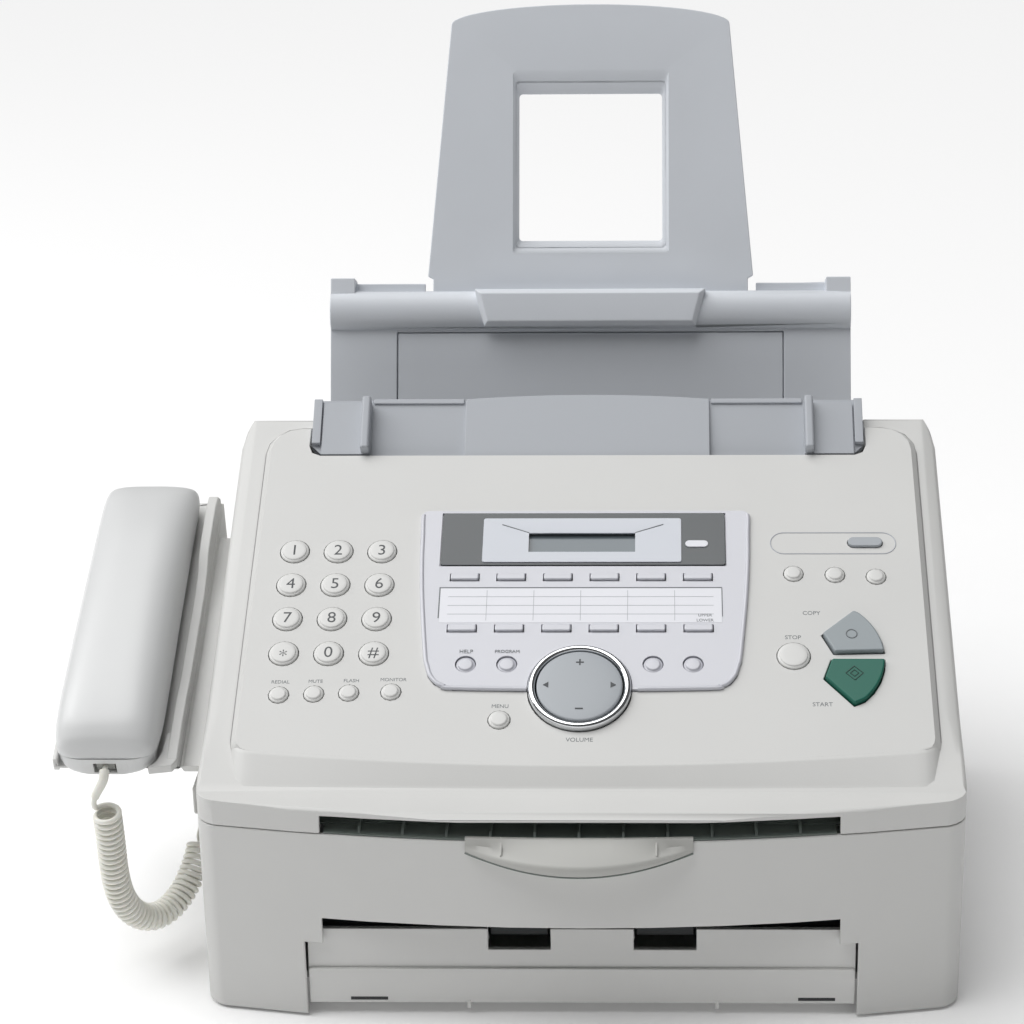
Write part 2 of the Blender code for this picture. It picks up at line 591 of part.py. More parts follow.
# Chassis: floor, feet, the recessed front panel with its two roller windows, and the bearing walls
base_frame = node("base_frame", box(-178.5, 178.5, 36, BODY_REAR_Y - WALL - 0.6, -2.0, 2.0), CHASSIS)
join(base_frame, box(-130.6, 130.6, 13.6, 40, -2.0, 2.0), box(-130.6, 130.6, 13.4, 16.2, -1.6, 41.4))
join(base_frame, box(-130.6, 130.6, 12.2, 14.2, -1.4, 17.0))
windows = merged(box(-44.3, -14.5, 5, 20, 32.2, 50), box(25.1, 54.9, 5, 20, 32.2, 50))
cut(base_frame, windows)
for x, y in ((-160, 45), (160, 45), (-160, 265), (160, 265)):
    join(base_frame, rod((x, y, DESK_Z), (x, y, 0), 8, 12))
for side in (-1, 1):
    wall_x = sorted((side * 147.4, side * 150.0))
    join(base_frame, box(*wall_x, 18, 245, 0, 84))
AXLES = {
    "exit": (22.5, 37.0), "fuser": (62.0, 58.0), "press": (62.0, 38.4), "drum": (130.0, 66.0),
    "transfer": (130.0, 45.2),
}
for y, z in AXLES.values():
    cut(base_frame, rod((-160, y, z), (160, y, z), 3.3, 12))


def roller(name, mat, axle, radius, half, shaft_half=152.0, sides=22):
    y, z = AXLES[axle]
    obj = node(name, rod((-half, y, z), (half, y, z), radius, sides), mat, (0, y, z), 30)
    join(obj, rod((-shaft_half, y, z), (shaft_half, y, z), 2.9, 12))
    return obj


roller("fuser_heat_roller", STEEL, "fuser", 10.0, 118.0)
roller("fuser_pressure_roller", RUBBER, "press", 9.0, 118.0)
roller("drum", DRUM_GREEN, "drum", 12.0, 116.0)
roller("transfer_roller", RUBBER, "transfer", 8.0, 116.0)
exit_y, exit_z = AXLES["exit"]
exit_shaft = rod((-152, exit_y, exit_z), (152, exit_y, exit_z), 2.9, 12)
exit_roller = node("exit_roller", exit_shaft, RUBBER, (0, exit_y, exit_z), 30)
for x0, x1 in ((-43.0, -16.0), (26.5, 53.5)):
    join(exit_roller, rod((x0, exit_y, exit_z), (x1, exit_y, exit_z), 6.0, 18))

# Document exit guide: the ribbed plate inside the upper slot, with the lip that stands out of the front
def lip_front(x, depth):
    return front_y(x) - depth * (1 - (x / 54.0) ** 2)


lip_x = [-53.0 + 106.0 * i / 10 for i in range(11)]
lip_top = [(x, lip_front(x, 14.0) - 0.6) for x in lip_x] + [(53.0, 20.0), (-53.0, 20.0)]
exit_lip = node("exit_lip", extrude(lip_top, 92.1, 94.6), CASING)
lip_low = [(x, lip_front(x, 12.5) - 0.5) for x in lip_x] + [(x, front_y(x) - GAP) for x in reversed(lip_x)]
join(exit_lip, extrude(lip_low, 82.6, 93.0))
join(exit_lip, prism([(18, 92.1), (40, 92.1), (62, 98), (62, 100), (40, 94.6), (18, 94.6)], -140, 140))

# Rear door over the paper path, hinged along its lower edge
rear_hinge = (0, BODY_REAR_Y + 0.4, 12.8)
node("rear_cover", box(-119.7, 119.7, 281.7, BODY_REAR_Y, 12.2, 75.0), CASING, rear_hinge)

# Toner cartridge above the drum; it lifts straight up
toner = [(96, 82), (164, 82), (172, 92), (172, 112), (100, 112), (92, 100)]
toner_cartridge = node("toner_cartridge", prism(toner, -112, 112), TONER_BLACK, (0, 130, 95))
join(toner_cartridge, box(-40, 40, 158, 164, 108, 120, bevel=1.2, segments=1))

# Laser unit, main board, motor with its pinion, and the mains inlet
node("laser_unit", prism([(170, 22), (262, 22), (262, 62), (190, 62), (170, 44)], -100, 100), TONER_BLACK)
node("main_board", box(-138, 138, 176, 268, 10.5, 12.1), BOARD)
node("drive_motor", rod((-177, 150, 40), (-160.5, 150, 40), 19, 20), STEEL, smooth=30)
PINION_TEETH = 12
pinion = []
for i in range(PINION_TEETH):
    for share, radius in ((0.0, 5.2), (0.25, 7.2), (0.5, 7.2), (0.75, 5.2)):
        angle = 2 * math.pi * (i + share) / PINION_TEETH
        pinion.append((150 + radius * math.cos(angle), 40 + radius * math.sin(angle)))
node("motor_pinion", prism(pinion, -159.8, -151.0), STEEL, (-155, 150, 40))
inlet = node("power_inlet", box(-170.6, -141.4, 268, BODY_REAR_Y + 1.2, 20.0, 45.0), TONER_BLACK)
cut(inlet, box(-166, -146, 272, 300, 25, 40))

# Paper tray: the grey chute that leans back out of the rear, with a rolled top and a pocket for the support
paper_tray = node("paper_tray", box(-142.3, 142.3, -66.0, 57.0, -11.0, 0, TRAY), TRAY_GREY)
roll_turns = [math.radians(a) for a in range(160, -1, -20)]
roll_profile = [(36.0, -0.5)] + [(46.5 + 10.5 * math.cos(a), -0.5 + 6.5 * math.sin(a)) for a in roll_turns]
roll_profile += [(57.0, -5.0), (36.0, -5.0)]


def along_x(profile, x0, x1, frame):
    """A (v, n) profile in a frame, extruded along X."""
    bm = extrude(profile, x0, x1)
    bm.transform(frame.matrix() @ Matrix(((0, 0, 1, 0), (1, 0, 0, 0), (0, 1, 0, 0), (0, 0, 0, 1))))
    bmesh.ops.recalc_face_normals(bm, faces=bm.faces)
    return bm


join(paper_tray, along_x(roll_profile, -142.3, 142.3, TRAY))
for side in (-1, 1):
    post_x = sorted((side * 129.0, side * 142.3))
    join(paper_tray, box(*post_x, 40.0, 64.3, -11.0, 2.0, TRAY))
    shoulder_x = sorted((side * 91.0, side * 135.0))
    join(paper_tray, box(*shoulder_x, 50.0, 62.5, -11.0, -8.6, TRAY))
for side in (-1, 1):
    tab_x = sorted((side * 140.0, side * 148.5))
    join(paper_tray, box(*tab_x, -50.0, -25.0, -9.0, -2.0, TRAY))
pocket = [(-63, 57.4), (63, 57.4), (57.6, 37.0), (-57.6, 37.0)]
join(paper_tray, extrude(pocket, -2.0, 9.5, TRAY, 2.5, 2.5))
cut(paper_tray, box(-89.2, 89.2, 8.0, 70.0, -8.2, -4.4, TRAY))
cut(paper_tray, box(-105.8, 105.8, -70.0, 34.6, -2.6, 3.0, TRAY))
pressure_leaf = box(-105.2, 105.2, -65.0, 34.0, -2.2, -0.4, TRAY)
node("pressure_plate", pressure_leaf, TRAY_GREY, TRAY.at(0, 33.0, -1.3))

# Paper support: the tall plate with a window, pushed into the tray's slot
support = [(-86.5, 9.0), (86.5, 9.0), (86.5, 64.5), (89.4, 66.0)]
support_turns = [math.radians(a) for a in range(0, 181, 15)]
support += [(76.8 * math.cos(a), 205.0 + 10.5 * math.sin(a)) for a in support_turns]
support += [(-89.4, 66.0), (-86.5, 64.5)]
support_plate = extrude(support, -7.8, -4.8, TRAY, 0.6, 0.6)
paper_support = node("paper_support", support_plate, TRAY_GREY, TRAY.at(0, 66, -6.3))
cut(paper_support, extrude(rounded(-39.6, 39.6, 86.0, 165.5, 1.5, 1), -12, 0, TRAY))

# Paper pick-up roller, on a shaft between the towers
PICKUP = (249.5, 163.0)
pickup = node("pickup_roller", rod((-148.4, *PICKUP), (148.4, *PICKUP), 2.8, 12), RUBBER, (0, *PICKUP), 30)
join(pickup, rod((-22, *PICKUP), (22, *PICKUP), 9.0, 20))

# Handset: a smooth upper shell over an inner half with the earpiece and mouthpiece humps
HANDSET_HALF = 25.3


def handset_ring(v, half, low, high, squareness, points=14):
    """Half a superellipse: flat below, crowned above."""
    ring = []
    for i in range(points + 1):
        angle = math.pi * i / points
        c, s = math.cos(angle), math.sin(angle)
        u = half * math.copysign(abs(c) ** squareness, c)
        ring.append(REST.at(u, v, low + (high - low) * abs(s) ** squareness))
    return ring


SEAM_N = 9.2
SHELL_STATIONS = (
    (4.0, 0.60, 12.0), (6.0, 0.78, 16.5), (11.0, 0.92, 22.0), (22.0, 1.0, 26.5), (45.0, 1.0, 29.0),
    (95.0, 0.98, 30.0), (140.0, 0.97, 28.5), (168.0, 0.97, 25.0), (182.0, 0.95, 20.5), (188.0, 0.88, 16.0),
    (190.5, 0.74, 12.0),
)
shell_rings = []
for v, width, crown_n in SHELL_STATIONS:
    shell_rings.append(handset_ring(v, HANDSET_HALF * width, SEAM_N, crown_n, 0.62))
node("handset_shell", loft(shell_rings), HANDSET, REST.at(0, 97, 0), 60)
inner_outline = rounded(-23.0, 23.0, 6.5, 188.0, 10, 3)
inner_half = extrude(inner_outline, 1.0, SEAM_N - GAP, REST)
handset_inner = node("handset_inner", inner_half, HANDSET, REST.at(0, 97, 0))
EAR = (138.0, 182.0)
MOUTH = (26.0, 62.0)
for low, high in (EAR, MOUTH):
    join(handset_inner, extrude(rounded(-20.5, 20.5, low, high, 9, 3), -12.0, 4.0, REST))
cut(handset_inner, box(-5.5, 5.5, 0.0, 16.0, 2.2, 8.6, REST))

# Cradle: a wedge on the left wall with wells for both ends of the handset, and the hook switch between them
CRADLE_LEFT, CRADLE_RIGHT = -252.8, -192.0
cradle_profile = [(46.0, 107.0), (84.0, 89.5), (205.0, 90.0), (221.0, 150.0), (215.5, 176.0)]
cradle_profile += [tuple(REST.at(0, 192.0, 0.5)[1:]), tuple(REST.at(0, 9.0, 0.5)[1:])]
handset_cradle = node("handset_cradle", prism(cradle_profile, CRADLE_LEFT, CRADLE_RIGHT), CASING)
cheek = [(9.0, -2.0), (9.0, 5.5), (44.0, 7.0), (60.0, 0.4), (60.0, -2.0)]
cheek = [tuple(REST.at(0, v, n)[1:]) for v, n in cheek]
join(handset_cradle, prism(cheek, CRADLE_LEFT, CRADLE_LEFT + 2.4))
side_wall = [(9.0, -2.0), (9.0, 5.5), (30.0, 6.8), (48.0, 6.5), (62.0, 5.0), (120.0, 5.0), (134.0, 7.0),
             (143.0, 10.8), (152.0, 12.0), (176.0, 12.4), (186.0, 10.6), (190.5, 5.0), (190.5, -2.0)]
side_wall = [tuple(REST.at(0, v, n)[1:]) for v, n in side_wall]
join(handset_cradle, prism(side_wall, -198.1, -192.9))
plate_profile = [(54.0, 104.0), (64.0, 96.0), (190.0, 92.0), (200.0, 160.0), (198.0, 165.0)]
join(handset_cradle, prism(plate_profile, -194.0, -HALF_WIDTH - GAP))
for low, high in (EAR, MOUTH):
    cut(handset_cradle, extrude(rounded(-21.4, 21.4, low - 1.0, high + 1.0, 9.5, 3), -13.2, 40, REST))
cut(handset_cradle, box(-6.6, 6.6, 70.0, 84.0, -9.0, 10, REST))
hook_lever = box(-6.0, 6.0, 70.6, 83.4, -4.6, 0.6, REST, bevel=0.8, segments=1)
node("hook_switch", hook_lever, CASING, REST.at(0, 77, 0))

# Handset cord: one unbroken curly tube from the handset's jack to the jack on the left wall
cord_start = REST.at(0, 5.0, 5.4)
route = [
    cord_start, cord_start + Vector((0, -4.5, -1.9)), Vector((-226.5, 33.5, 102.0)),
    Vector((-226.5, 34.0, 93.0)), Vector((-226.5, 37.0, 81.2)), Vector((-226.8, 40.0, 70.4)),
    Vector((-227.4, 46.0, 44.1)), Vector((-224.4, 54.0, 25.1)), Vector((-217.2, 62.0, 14.3)),
    Vector((-209.1, 70.0, 13.2)), Vector((-203.6, 78.0, 17.2)), Vector((-198.9, 86.0, 24.1)),
    Vector((-195.5, 94.0, 33.0)), Vector((-193.0, 101.0, 44.0)), Vector((-193.0, 106.5, 51.2)),
    Vector((-193.0, 112.0, 52.0)),
]


def smooth_path(points, per_span=24):
    """A Catmull-Rom curve through the route's own points."""
    path = []
    ends = [points[0] * 2 - points[1]] + points + [points[-1] * 2 - points[-2]]
    for a, b, c, d in zip(ends, ends[1:], ends[2:], ends[3:]):
        for i in range(per_span):
            t = i / per_span
            bend = (2 * a - 5 * b + 4 * c - d) * t ** 2 + (3 * b - a - 3 * c + d) * t ** 3
            path.append(0.5 * (2 * b + (c - a) * t + bend))
    return path + [points[-1]]


def resampled(path, spacing):
    """The same path at even steps."""
    steps = [0.0]
    for a, b in zip(path, path[1:]):
        steps.append(steps[-1] + (b - a).length)
    count = max(2, round(steps[-1] / spacing))
    out, k = [], 0
    for i in range(count + 1):
        want = steps[-1] * i / count
        while k < len(steps) - 2 and steps[k + 1] < want:
            k += 1
        out.append(path[k].lerp(path[k + 1], (want - steps[k]) / (steps[k + 1] - steps[k])))
    return out, steps[-1]


def relaxed(path, rounds, held):
    """The path with its tight bends eased; its ends stay where they are."""
    for _ in range(rounds):
        inner = [(a + c) / 4 + b / 2 for a, b, c in zip(path, path[1:], path[2:])]
        path = path[:held] + inner[held - 1:len(path) - held - 1] + path[len(path) - held:]
    return path


centre, route_length = resampled(smooth_path(route), 0.5)
centre, route_length = resampled(relaxed(centre, 700, 12), 0.5)
PLAIN_IN = 25.0
PLAIN_OUT = 21.0
end = len(centre) - 1
first = round(PLAIN_IN / 0.5)
last = end - round(PLAIN_OUT / 0.5)
turns = CORD_CURLS * CORD_POINTS_PER_CURL
tangents = [(centre[min(i + 4, end)] - centre[max(i - 4, 0)]).normalized() for i in range(end + 1)]
side_vector = Vector((1, 0, 0))
sides_at = []
for tangent in tangents:
    side_vector = (side_vector - tangent * side_vector.dot(tangent)).normalized()
    sides_at.append(side_vector.copy())
cord_points = [centre[i] for i in range(0, first - 5, 8)]
for k in range(turns + 1):
    place_at = first + (last - first) * k / turns
    low = min(int(place_at), len(centre) - 2)
    spot = centre[low].lerp(centre[low + 1], place_at - low)
    angle = 2 * math.pi * k / CORD_POINTS_PER_CURL
    ease = min(1.0, k / 6, (turns - k) / 6)
    radius = CORD_COIL_RADIUS * (0.12 + 0.88 * ease)
    across = sides_at[low]
    other = tangents[low].cross(across)
    cord_points.append(spot + (across * math.cos(angle) + other * math.sin(angle)) * radius)
cord_points += [centre[i] for i in range(last + 7, len(centre) - 4, 7)] + [centre[-1]]


def least_gap(points, wire, apart):
    """The least clear distance between stretches of the tube more than `apart` mm along it."""
    run = [0.0]
    for a, b in zip(points, points[1:]):
        run.append(run[-1] + (b - a).length)
    least = 1e9
    for i, a in enumerate(points):
        for j in range(i + 1, len(points)):
            if run[j] - run[i] > apart:
                least = min(least, (a - points[j]).length)
    return least - wire


cord_gap = least_gap(cord_points, CORD_WIRE, 12.0)
print(f"cord: route {route_length:.1f} mm, least gap to itself {cord_gap:.2f} mm")
curve = bpy.data.curves.new("handset_cord", "CURVE")
curve.dimensions = "3D"
curve.bevel_depth = CORD_WIRE / 2000
curve.bevel_resolution = 1
curve.use_fill_caps = True
spline = curve.splines.new("POLY")
spline.points.add(len(cord_points) - 1)
for point, spot in zip(spline.points, cord_points):
    point.co = (*((spot - ORIGIN) * 0.001), 1.0)
curve.materials.append(CORD)
cord = bpy.data.objects.new("handset_cord", curve)
PARTS.objects.link(cord)

# Plugs at both ends of the cord
node("handset_plug", box(-4.4, 4.4, 5.4, 15.0, 2.7, 8.1, REST), CLEAR_PLUG)
node("base_plug", box(-196.6, -189.4, 112.4, 130.0, 48.6, 55.4), CLEAR_PLUG)
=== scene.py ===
"""Looks of a desktop laser fax machine with a corded handset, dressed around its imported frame."""
import json
import math

import bmesh
import bpy
from mathutils import Matrix, Vector

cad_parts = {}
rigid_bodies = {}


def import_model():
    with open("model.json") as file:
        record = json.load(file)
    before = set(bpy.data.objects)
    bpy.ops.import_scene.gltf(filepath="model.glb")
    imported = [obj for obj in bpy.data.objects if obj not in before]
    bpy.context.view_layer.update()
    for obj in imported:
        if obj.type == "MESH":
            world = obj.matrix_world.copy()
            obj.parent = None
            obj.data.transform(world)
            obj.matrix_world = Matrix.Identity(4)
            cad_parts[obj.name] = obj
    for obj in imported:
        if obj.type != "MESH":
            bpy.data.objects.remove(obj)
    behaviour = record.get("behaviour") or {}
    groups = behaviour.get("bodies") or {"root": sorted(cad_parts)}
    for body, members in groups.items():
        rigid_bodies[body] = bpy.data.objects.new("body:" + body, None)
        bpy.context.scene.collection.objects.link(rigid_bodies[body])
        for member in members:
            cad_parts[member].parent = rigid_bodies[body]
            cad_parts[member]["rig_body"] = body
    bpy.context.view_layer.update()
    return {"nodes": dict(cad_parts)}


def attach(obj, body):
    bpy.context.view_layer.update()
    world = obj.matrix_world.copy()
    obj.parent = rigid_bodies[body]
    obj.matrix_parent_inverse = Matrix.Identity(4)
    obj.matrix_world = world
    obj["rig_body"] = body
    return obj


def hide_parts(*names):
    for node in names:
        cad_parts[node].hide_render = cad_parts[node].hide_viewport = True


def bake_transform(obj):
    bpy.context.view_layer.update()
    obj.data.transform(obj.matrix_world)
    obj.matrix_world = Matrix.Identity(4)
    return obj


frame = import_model()

# Camera: a long lens in front of the machine and a little above it, at the photograph's viewing angle.
# The lens is shifted sideways, because the photograph frames the machine off its optical axis.
MACHINE_ZERO_MM = Vector((-35.4, 185.1, -8.0))


def metres(x, y, z):
    """A point in the machine's own millimetres (as the part's source gives it) in the frame's metres."""
    return (Vector((x, y, z)) - MACHINE_ZERO_MM) / 1000


CAMERA_MM = (36.2, -1110.6, 689.7)
YAW = math.radians(-1.54)
PITCH = math.radians(21.31)
ROLL = math.radians(-0.64)
forward = Vector((math.sin(YAW) * math.cos(PITCH), math.cos(YAW) * math.cos(PITCH), -math.sin(PITCH)))
level = Vector((math.cos(YAW), -math.sin(YAW), 0))
square = level.cross(forward)
right = level * math.cos(ROLL) + square * math.sin(ROLL)
up = square * math.cos(ROLL) - level * math.sin(ROLL)
camera_data = bpy.data.cameras.new("photograph_camera")
camera_data.lens = 95.07
camera_data.sensor_width = 36.0
camera_data.shift_x = -0.075
camera_data.clip_start = 0.05
camera = bpy.data.objects.new("photograph_camera", camera_data)
aim = Matrix((right, up, -forward)).transposed().to_4x4()
camera.matrix_world = Matrix.Translation(metres(*CAMERA_MM)) @ aim
bpy.context.scene.collection.objects.link(camera)
bpy.context.scene.camera = camera

# Studio: a pale matt floor, one very wide soft light overhead, a weak box from the left and a dim surround.
# The light is soft and comes from above, so upright faces are darker than the sloping panel.


def linear(hexa):
    """An sRGB hex colour as the linear colour that a shader takes."""
    parts = [int(hexa[i:i + 2], 16) / 255 for i in (0, 2, 4)]
    return tuple(c / 12.92 if c <= 0.04045 else ((c + 0.055) / 1.055) ** 2.4 for c in parts) + (1.0,)


def blank(name):
    """A new material with its Principled shader and its tree."""
    made = bpy.data.materials.new(name)
    made.use_nodes = True
    return made, made.node_tree, made.node_tree.nodes["Principled BSDF"]


def tune(shader, values):
    """Sets a shader's plain values."""
    for name, value in values.items():
        shader.inputs[name].default_value = value


def evaluated(made):
    """A new mesh of an object as its modifiers leave it."""
    return bpy.data.meshes.new_from_object(made.evaluated_get(bpy.context.evaluated_depsgraph_get()))


def piece(name, bm, material=None, smooth=40, even=True):
    """An object made of a bmesh, smooth except across edges sharper than the given angle.
    Where even is set, large faces stay flat and only the rounded edges between them turn."""
    mesh = bpy.data.meshes.new(name)
    bm.to_mesh(mesh)
    bm.free()
    mesh.shade_smooth()
    mesh.set_sharp_from_angle(angle=math.radians(smooth))
    made = bpy.data.objects.new(name, mesh)
    bpy.context.scene.collection.objects.link(made)
    if material:
        mesh.materials.append(material)
    if even:
        step = made.modifiers.new("even", "WEIGHTED_NORMAL")
        step.keep_sharp = True
        step.weight = 80
        made.data = evaluated(made)
        made.modifiers.clear()
        bpy.data.meshes.remove(mesh)
        made.data.name = name
    return made


FLOOR_HALF = 60.0
floor_paint, _, floor_shader = blank("matt_white_floor_paint")
tune(floor_shader, {"Base Color": linear("F8F8F8"), "Roughness": 0.9, "Emission Color": linear("FFFFFF"),
                    "Emission Strength": 0.08})
floor_bm = bmesh.new()
bmesh.ops.create_grid(floor_bm, x_segments=2, y_segments=2, size=FLOOR_HALF)
floor = piece("studio_floor", floor_bm, floor_paint)


def studio_light(name, kind, energy, direction):
    """A light that shines in a direction."""
    data = bpy.data.lights.new(name, kind)
    data.energy = energy
    light = bpy.data.objects.new(name, data)
    light.rotation_euler = direction.to_track_quat("-Z", "Y").to_euler()
    bpy.context.scene.collection.objects.link(light)
    return light


silk = studio_light("overhead_silk", "SUN", 2.58, Vector((0.35, 0.0, -1.0)))
silk.data.angle = math.radians(60)
BOX_PLACE = Vector((-1.5, 0.25, 1.2))
box = studio_light("left_box", "AREA", 8.0, Vector((-0.1, 0, 0.15)) - BOX_PLACE)
box.data.shape = "SQUARE"
box.data.size = 0.9
box.location = BOX_PLACE
world = bpy.data.worlds.new("white_surround")
world.use_nodes = True
tune(world.node_tree.nodes["Background"], {"Color": linear("FFFFFF"), "Strength": 0.1})
bpy.context.scene.world = world
bpy.context.scene.view_settings.view_transform = "Standard"

# Handset cord: one curly PVC lead from the jack on the left wall to the jack in the handset's lower end.
# The wire is wound cold into a coil that hangs in a short loop under its own weight.


def add(tree, kind, settings=None, links=None):
    """Adds a node; settings are properties or input values, and links join inputs to other nodes' outputs."""
    made = tree.nodes.new(kind)
    for name, value in (settings or {}).items():
        if name in made.inputs.keys():
            made.inputs[name].default_value = value
        else:
            setattr(made, name, value)
    for name, output in (links or {}).items():
        tree.links.new(output, made.inputs[name])
    return made


def noise(tree, scale, detail):
    """Soft noise in a piece's own space."""
    where = add(tree, "ShaderNodeTexCoord")
    settings = {"Scale": scale, "Detail": detail}
    return add(tree, "ShaderNodeTexNoise", settings, {"Vector": where.outputs["Object"]}).outputs["Fac"]


def slope(x, y, z, degrees):
    """A working frame as a function of (u, v, n) in millimetres: along X, up a slope, square to it."""
    c = math.cos(math.radians(degrees))
    s = math.sin(math.radians(degrees))

    def at(u, v, n=0.0):
        return metres(x + u, y + v * c - n * s, z + v * s + n * c)

    return at


rest = slope(-226.5, 38.0, 104.0, 22.5)
CORD_WIRE_MM = 2.6
COIL_RADIUS_MM = 5.8
CURLS = 42
POINTS_PER_CURL = 16
PLAIN_IN_MM = 25.0
PLAIN_OUT_MM = 21.0
STEP_MM = 0.5
EASING_ROUNDS = 700
HELD_POINTS = 12
LEAD_BEND_MM = 4.5
LEAD_STRAIGHT = 0.25
LEAD_POINTS = 12
BEND_POINTS = 8
BEND_TURN = LEAD_BEND_MM / COIL_RADIUS_MM
FIRST_TURN = math.pi
BOOT_RADIUS = 0.0024
BOOT_END_RADIUS = 0.0020
JACK = rest(0, 5.0, 5.4)
ROUTE_MM = ((-226.5, 33.5, 102.0), (-226.5, 34.0, 93.0), (-226.5, 37.0, 81.2), (-226.8, 40.0, 70.4),
            (-227.4, 46.0, 44.1), (-224.4, 54.0, 25.1), (-217.2, 62.0, 14.3), (-209.1, 70.0, 13.2),
            (-203.6, 78.0, 17.2), (-198.9, 86.0, 24.1), (-195.5, 94.0, 33.0), (-193.0, 101.0, 44.0),
            (-193.0, 106.5, 51.2), (-193.0, 112.0, 52.0))
route = [JACK, JACK + Vector((0, -4.5, -1.9)) / 1000] + [metres(*spot) for spot in ROUTE_MM]


def smooth_path(points, per_span=24):
    """A Catmull-Rom curve through points."""
    path = []
    ends = [points[0] * 2 - points[1]] + points + [points[-1] * 2 - points[-2]]
    for a, b, c, d in zip(ends, ends[1:], ends[2:], ends[3:]):
        for i in range(per_span):
            t = i / per_span
            bend = (2 * a - 5 * b + 4 * c - d) * t ** 2 + (3 * b - a - 3 * c + d) * t ** 3
            path.append(0.5 * (2 * b + (c - a) * t + bend))
    return path + [points[-1]]


def resampled(path, spacing):
    """The same path at even steps."""
    run = [0.0]
    for a, b in zip(path, path[1:]):
        run.append(run[-1] + (b - a).length)
    count = max(2, round(run[-1] / spacing))
    out = []
    k = 0
    for i in range(count + 1):
        want = run[-1] * i / count
        while k < len(run) - 2 and run[k + 1] < want:
            k += 1
        out.append(path[k].lerp(path[k + 1], (want - run[k]) / (run[k + 1] - run[k])))
    return out


def relaxed(path, rounds, held):
    """The path with its tight bends eased; its ends stay where they are."""
    for _ in range(rounds):
        inner = [(a + c) / 4 + b / 2 for a, b, c in zip(path, path[1:], path[2:])]
        path = path[:held] + inner[held - 1:len(path) - held - 1] + path[len(path) - held:]
    return path


def carried(path, reach=4):
    """Tangents along a path, and a side vector carried along it without twist."""
    last = len(path) - 1
    tangents = [(path[min(i + reach, last)] - path[max(i - reach, 0)]).normalized() for i in range(last + 1)]
    side = Vector((1, 0, 0))
    sides = []
    for tangent in tangents:
        side = (side - tangent * side.dot(tangent)).normalized()
        sides.append(side.copy())
    return tangents, sides


def lofted(rings):
    """A closed skin through rings of points, capped at both ends."""
    bm = bmesh.new()
    rows = [[bm.verts.new(p) for p in ring] for ring in rings]
    for low, high in zip(rows, rows[1:]):
        for i in range(len(low)):
            bm.faces.new((low[i - 1], low[i], high[i], high[i - 1]))
    bm.faces.new(rows[0][::-1])
    bm.faces.new(rows[-1])
    bmesh.ops.recalc_face_normals(bm, faces=bm.faces)
    return bm


def tube(points, radius, sides=10, end_radius=None):
    """A closed tube along a line of points, which may taper to another radius."""
    tangents, across = carried(points, 1)
    turn = [2 * math.pi * i / sides for i in range(sides)]
    widening = (end_radius or radius) - radius
    rings = []
    for k, (spot, tangent, side) in enumerate(zip(points, tangents, across)):
        reach = radius + widening * k / (len(points) - 1)
        other = tangent.cross(side)
        rings.append([spot + (side * math.cos(a) + other * math.sin(a)) * reach for a in turn])
    return lofted(rings)


step = STEP_MM / 1000
centre = resampled(relaxed(resampled(smooth_path(route), step), EASING_ROUNDS, HELD_POINTS), step)
tangents, sides_at = carried(centre)
run_mm = (len(centre) - 1) * STEP_MM


def beside_route(along_mm, turn, radius_mm):
    """A point beside the cord's hanging route, at a distance along it and an angle round it."""
    place_at = along_mm / STEP_MM
    low = min(int(place_at), len(centre) - 2)
    spot = centre[low].lerp(centre[low + 1], place_at - low)
    other = tangents[low].cross(sides_at[low])
    angle = FIRST_TURN + turn
    return spot + (sides_at[low] * math.cos(angle) + other * math.sin(angle)) * radius_mm / 1000


def lead(plain_mm):
    """A lead as (along, turn, radius): straight, then out to the coil's rim, then bent round into a curl."""
    straight = plain_mm - LEAD_BEND_MM
    rows = []
    for i in range(LEAD_POINTS):
        out = max(0.0, (i / LEAD_POINTS - LEAD_STRAIGHT) / (1 - LEAD_STRAIGHT))
        rows.append((straight * i / LEAD_POINTS, 0.0, COIL_RADIUS_MM * (0.5 - 0.5 * math.cos(math.pi * out))))
    for i in range(BEND_POINTS):
        bend = 0.5 * math.pi * i / BEND_POINTS
        along = straight + LEAD_BEND_MM * math.sin(bend)
        rows.append((along, BEND_TURN * (1 - math.cos(bend)), COIL_RADIUS_MM))
    return rows


whole_turn = 2 * math.pi * CURLS
lead_in = lead(PLAIN_IN_MM)
cord_rows = list(lead_in)
coil_points = CURLS * POINTS_PER_CURL
for k in range(coil_points + 1):
    along = PLAIN_IN_MM + (run_mm - PLAIN_IN_MM - PLAIN_OUT_MM) * k / coil_points
    cord_rows.append((along, BEND_TURN + (whole_turn - 2 * BEND_TURN) * k / coil_points, COIL_RADIUS_MM))
for along, turn, radius in reversed(lead(PLAIN_OUT_MM)):
    cord_rows.append((run_mm - along, whole_turn - turn, radius))
cord_points = [beside_route(*row) for row in cord_rows]
cord_points.reverse()

# Plasticised PVC, extruded: a smooth waxy skin with a soft highlight along each curl.
cord_pvc, cord_tree, cord_shader = blank("extruded_pvc_cord")
tone = add(cord_tree, "ShaderNodeValToRGB", links={"Fac": noise(cord_tree, 90.0, 3.0)})
tone.color_ramp.elements[0].color = linear("EDECE2")
tone.color_ramp.elements[1].color = linear("F8F7F0")
cord_tree.links.new(tone.outputs["Color"], cord_shader.inputs["Base Color"])
tune(cord_shader, {"Roughness": 0.42, "IOR": 1.53, "Subsurface Weight": 0.08,
                   "Subsurface Radius": (0.004, 0.003, 0.002)})
cord = piece("curly_cord", tube(cord_points, CORD_WIRE_MM / 2000), cord_pvc, 80, False)
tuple(cord_points[0])
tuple(cord_points[-1])
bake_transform(cord)
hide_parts("handset_cord")
boot_points = [beside_route(*row) for row in lead_in[2:LEAD_POINTS - 1]]
boot = piece("cord_boot", tube(boot_points, BOOT_RADIUS, 14, BOOT_END_RADIUS), cord_pvc, 60, False)
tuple(cord_points[0])
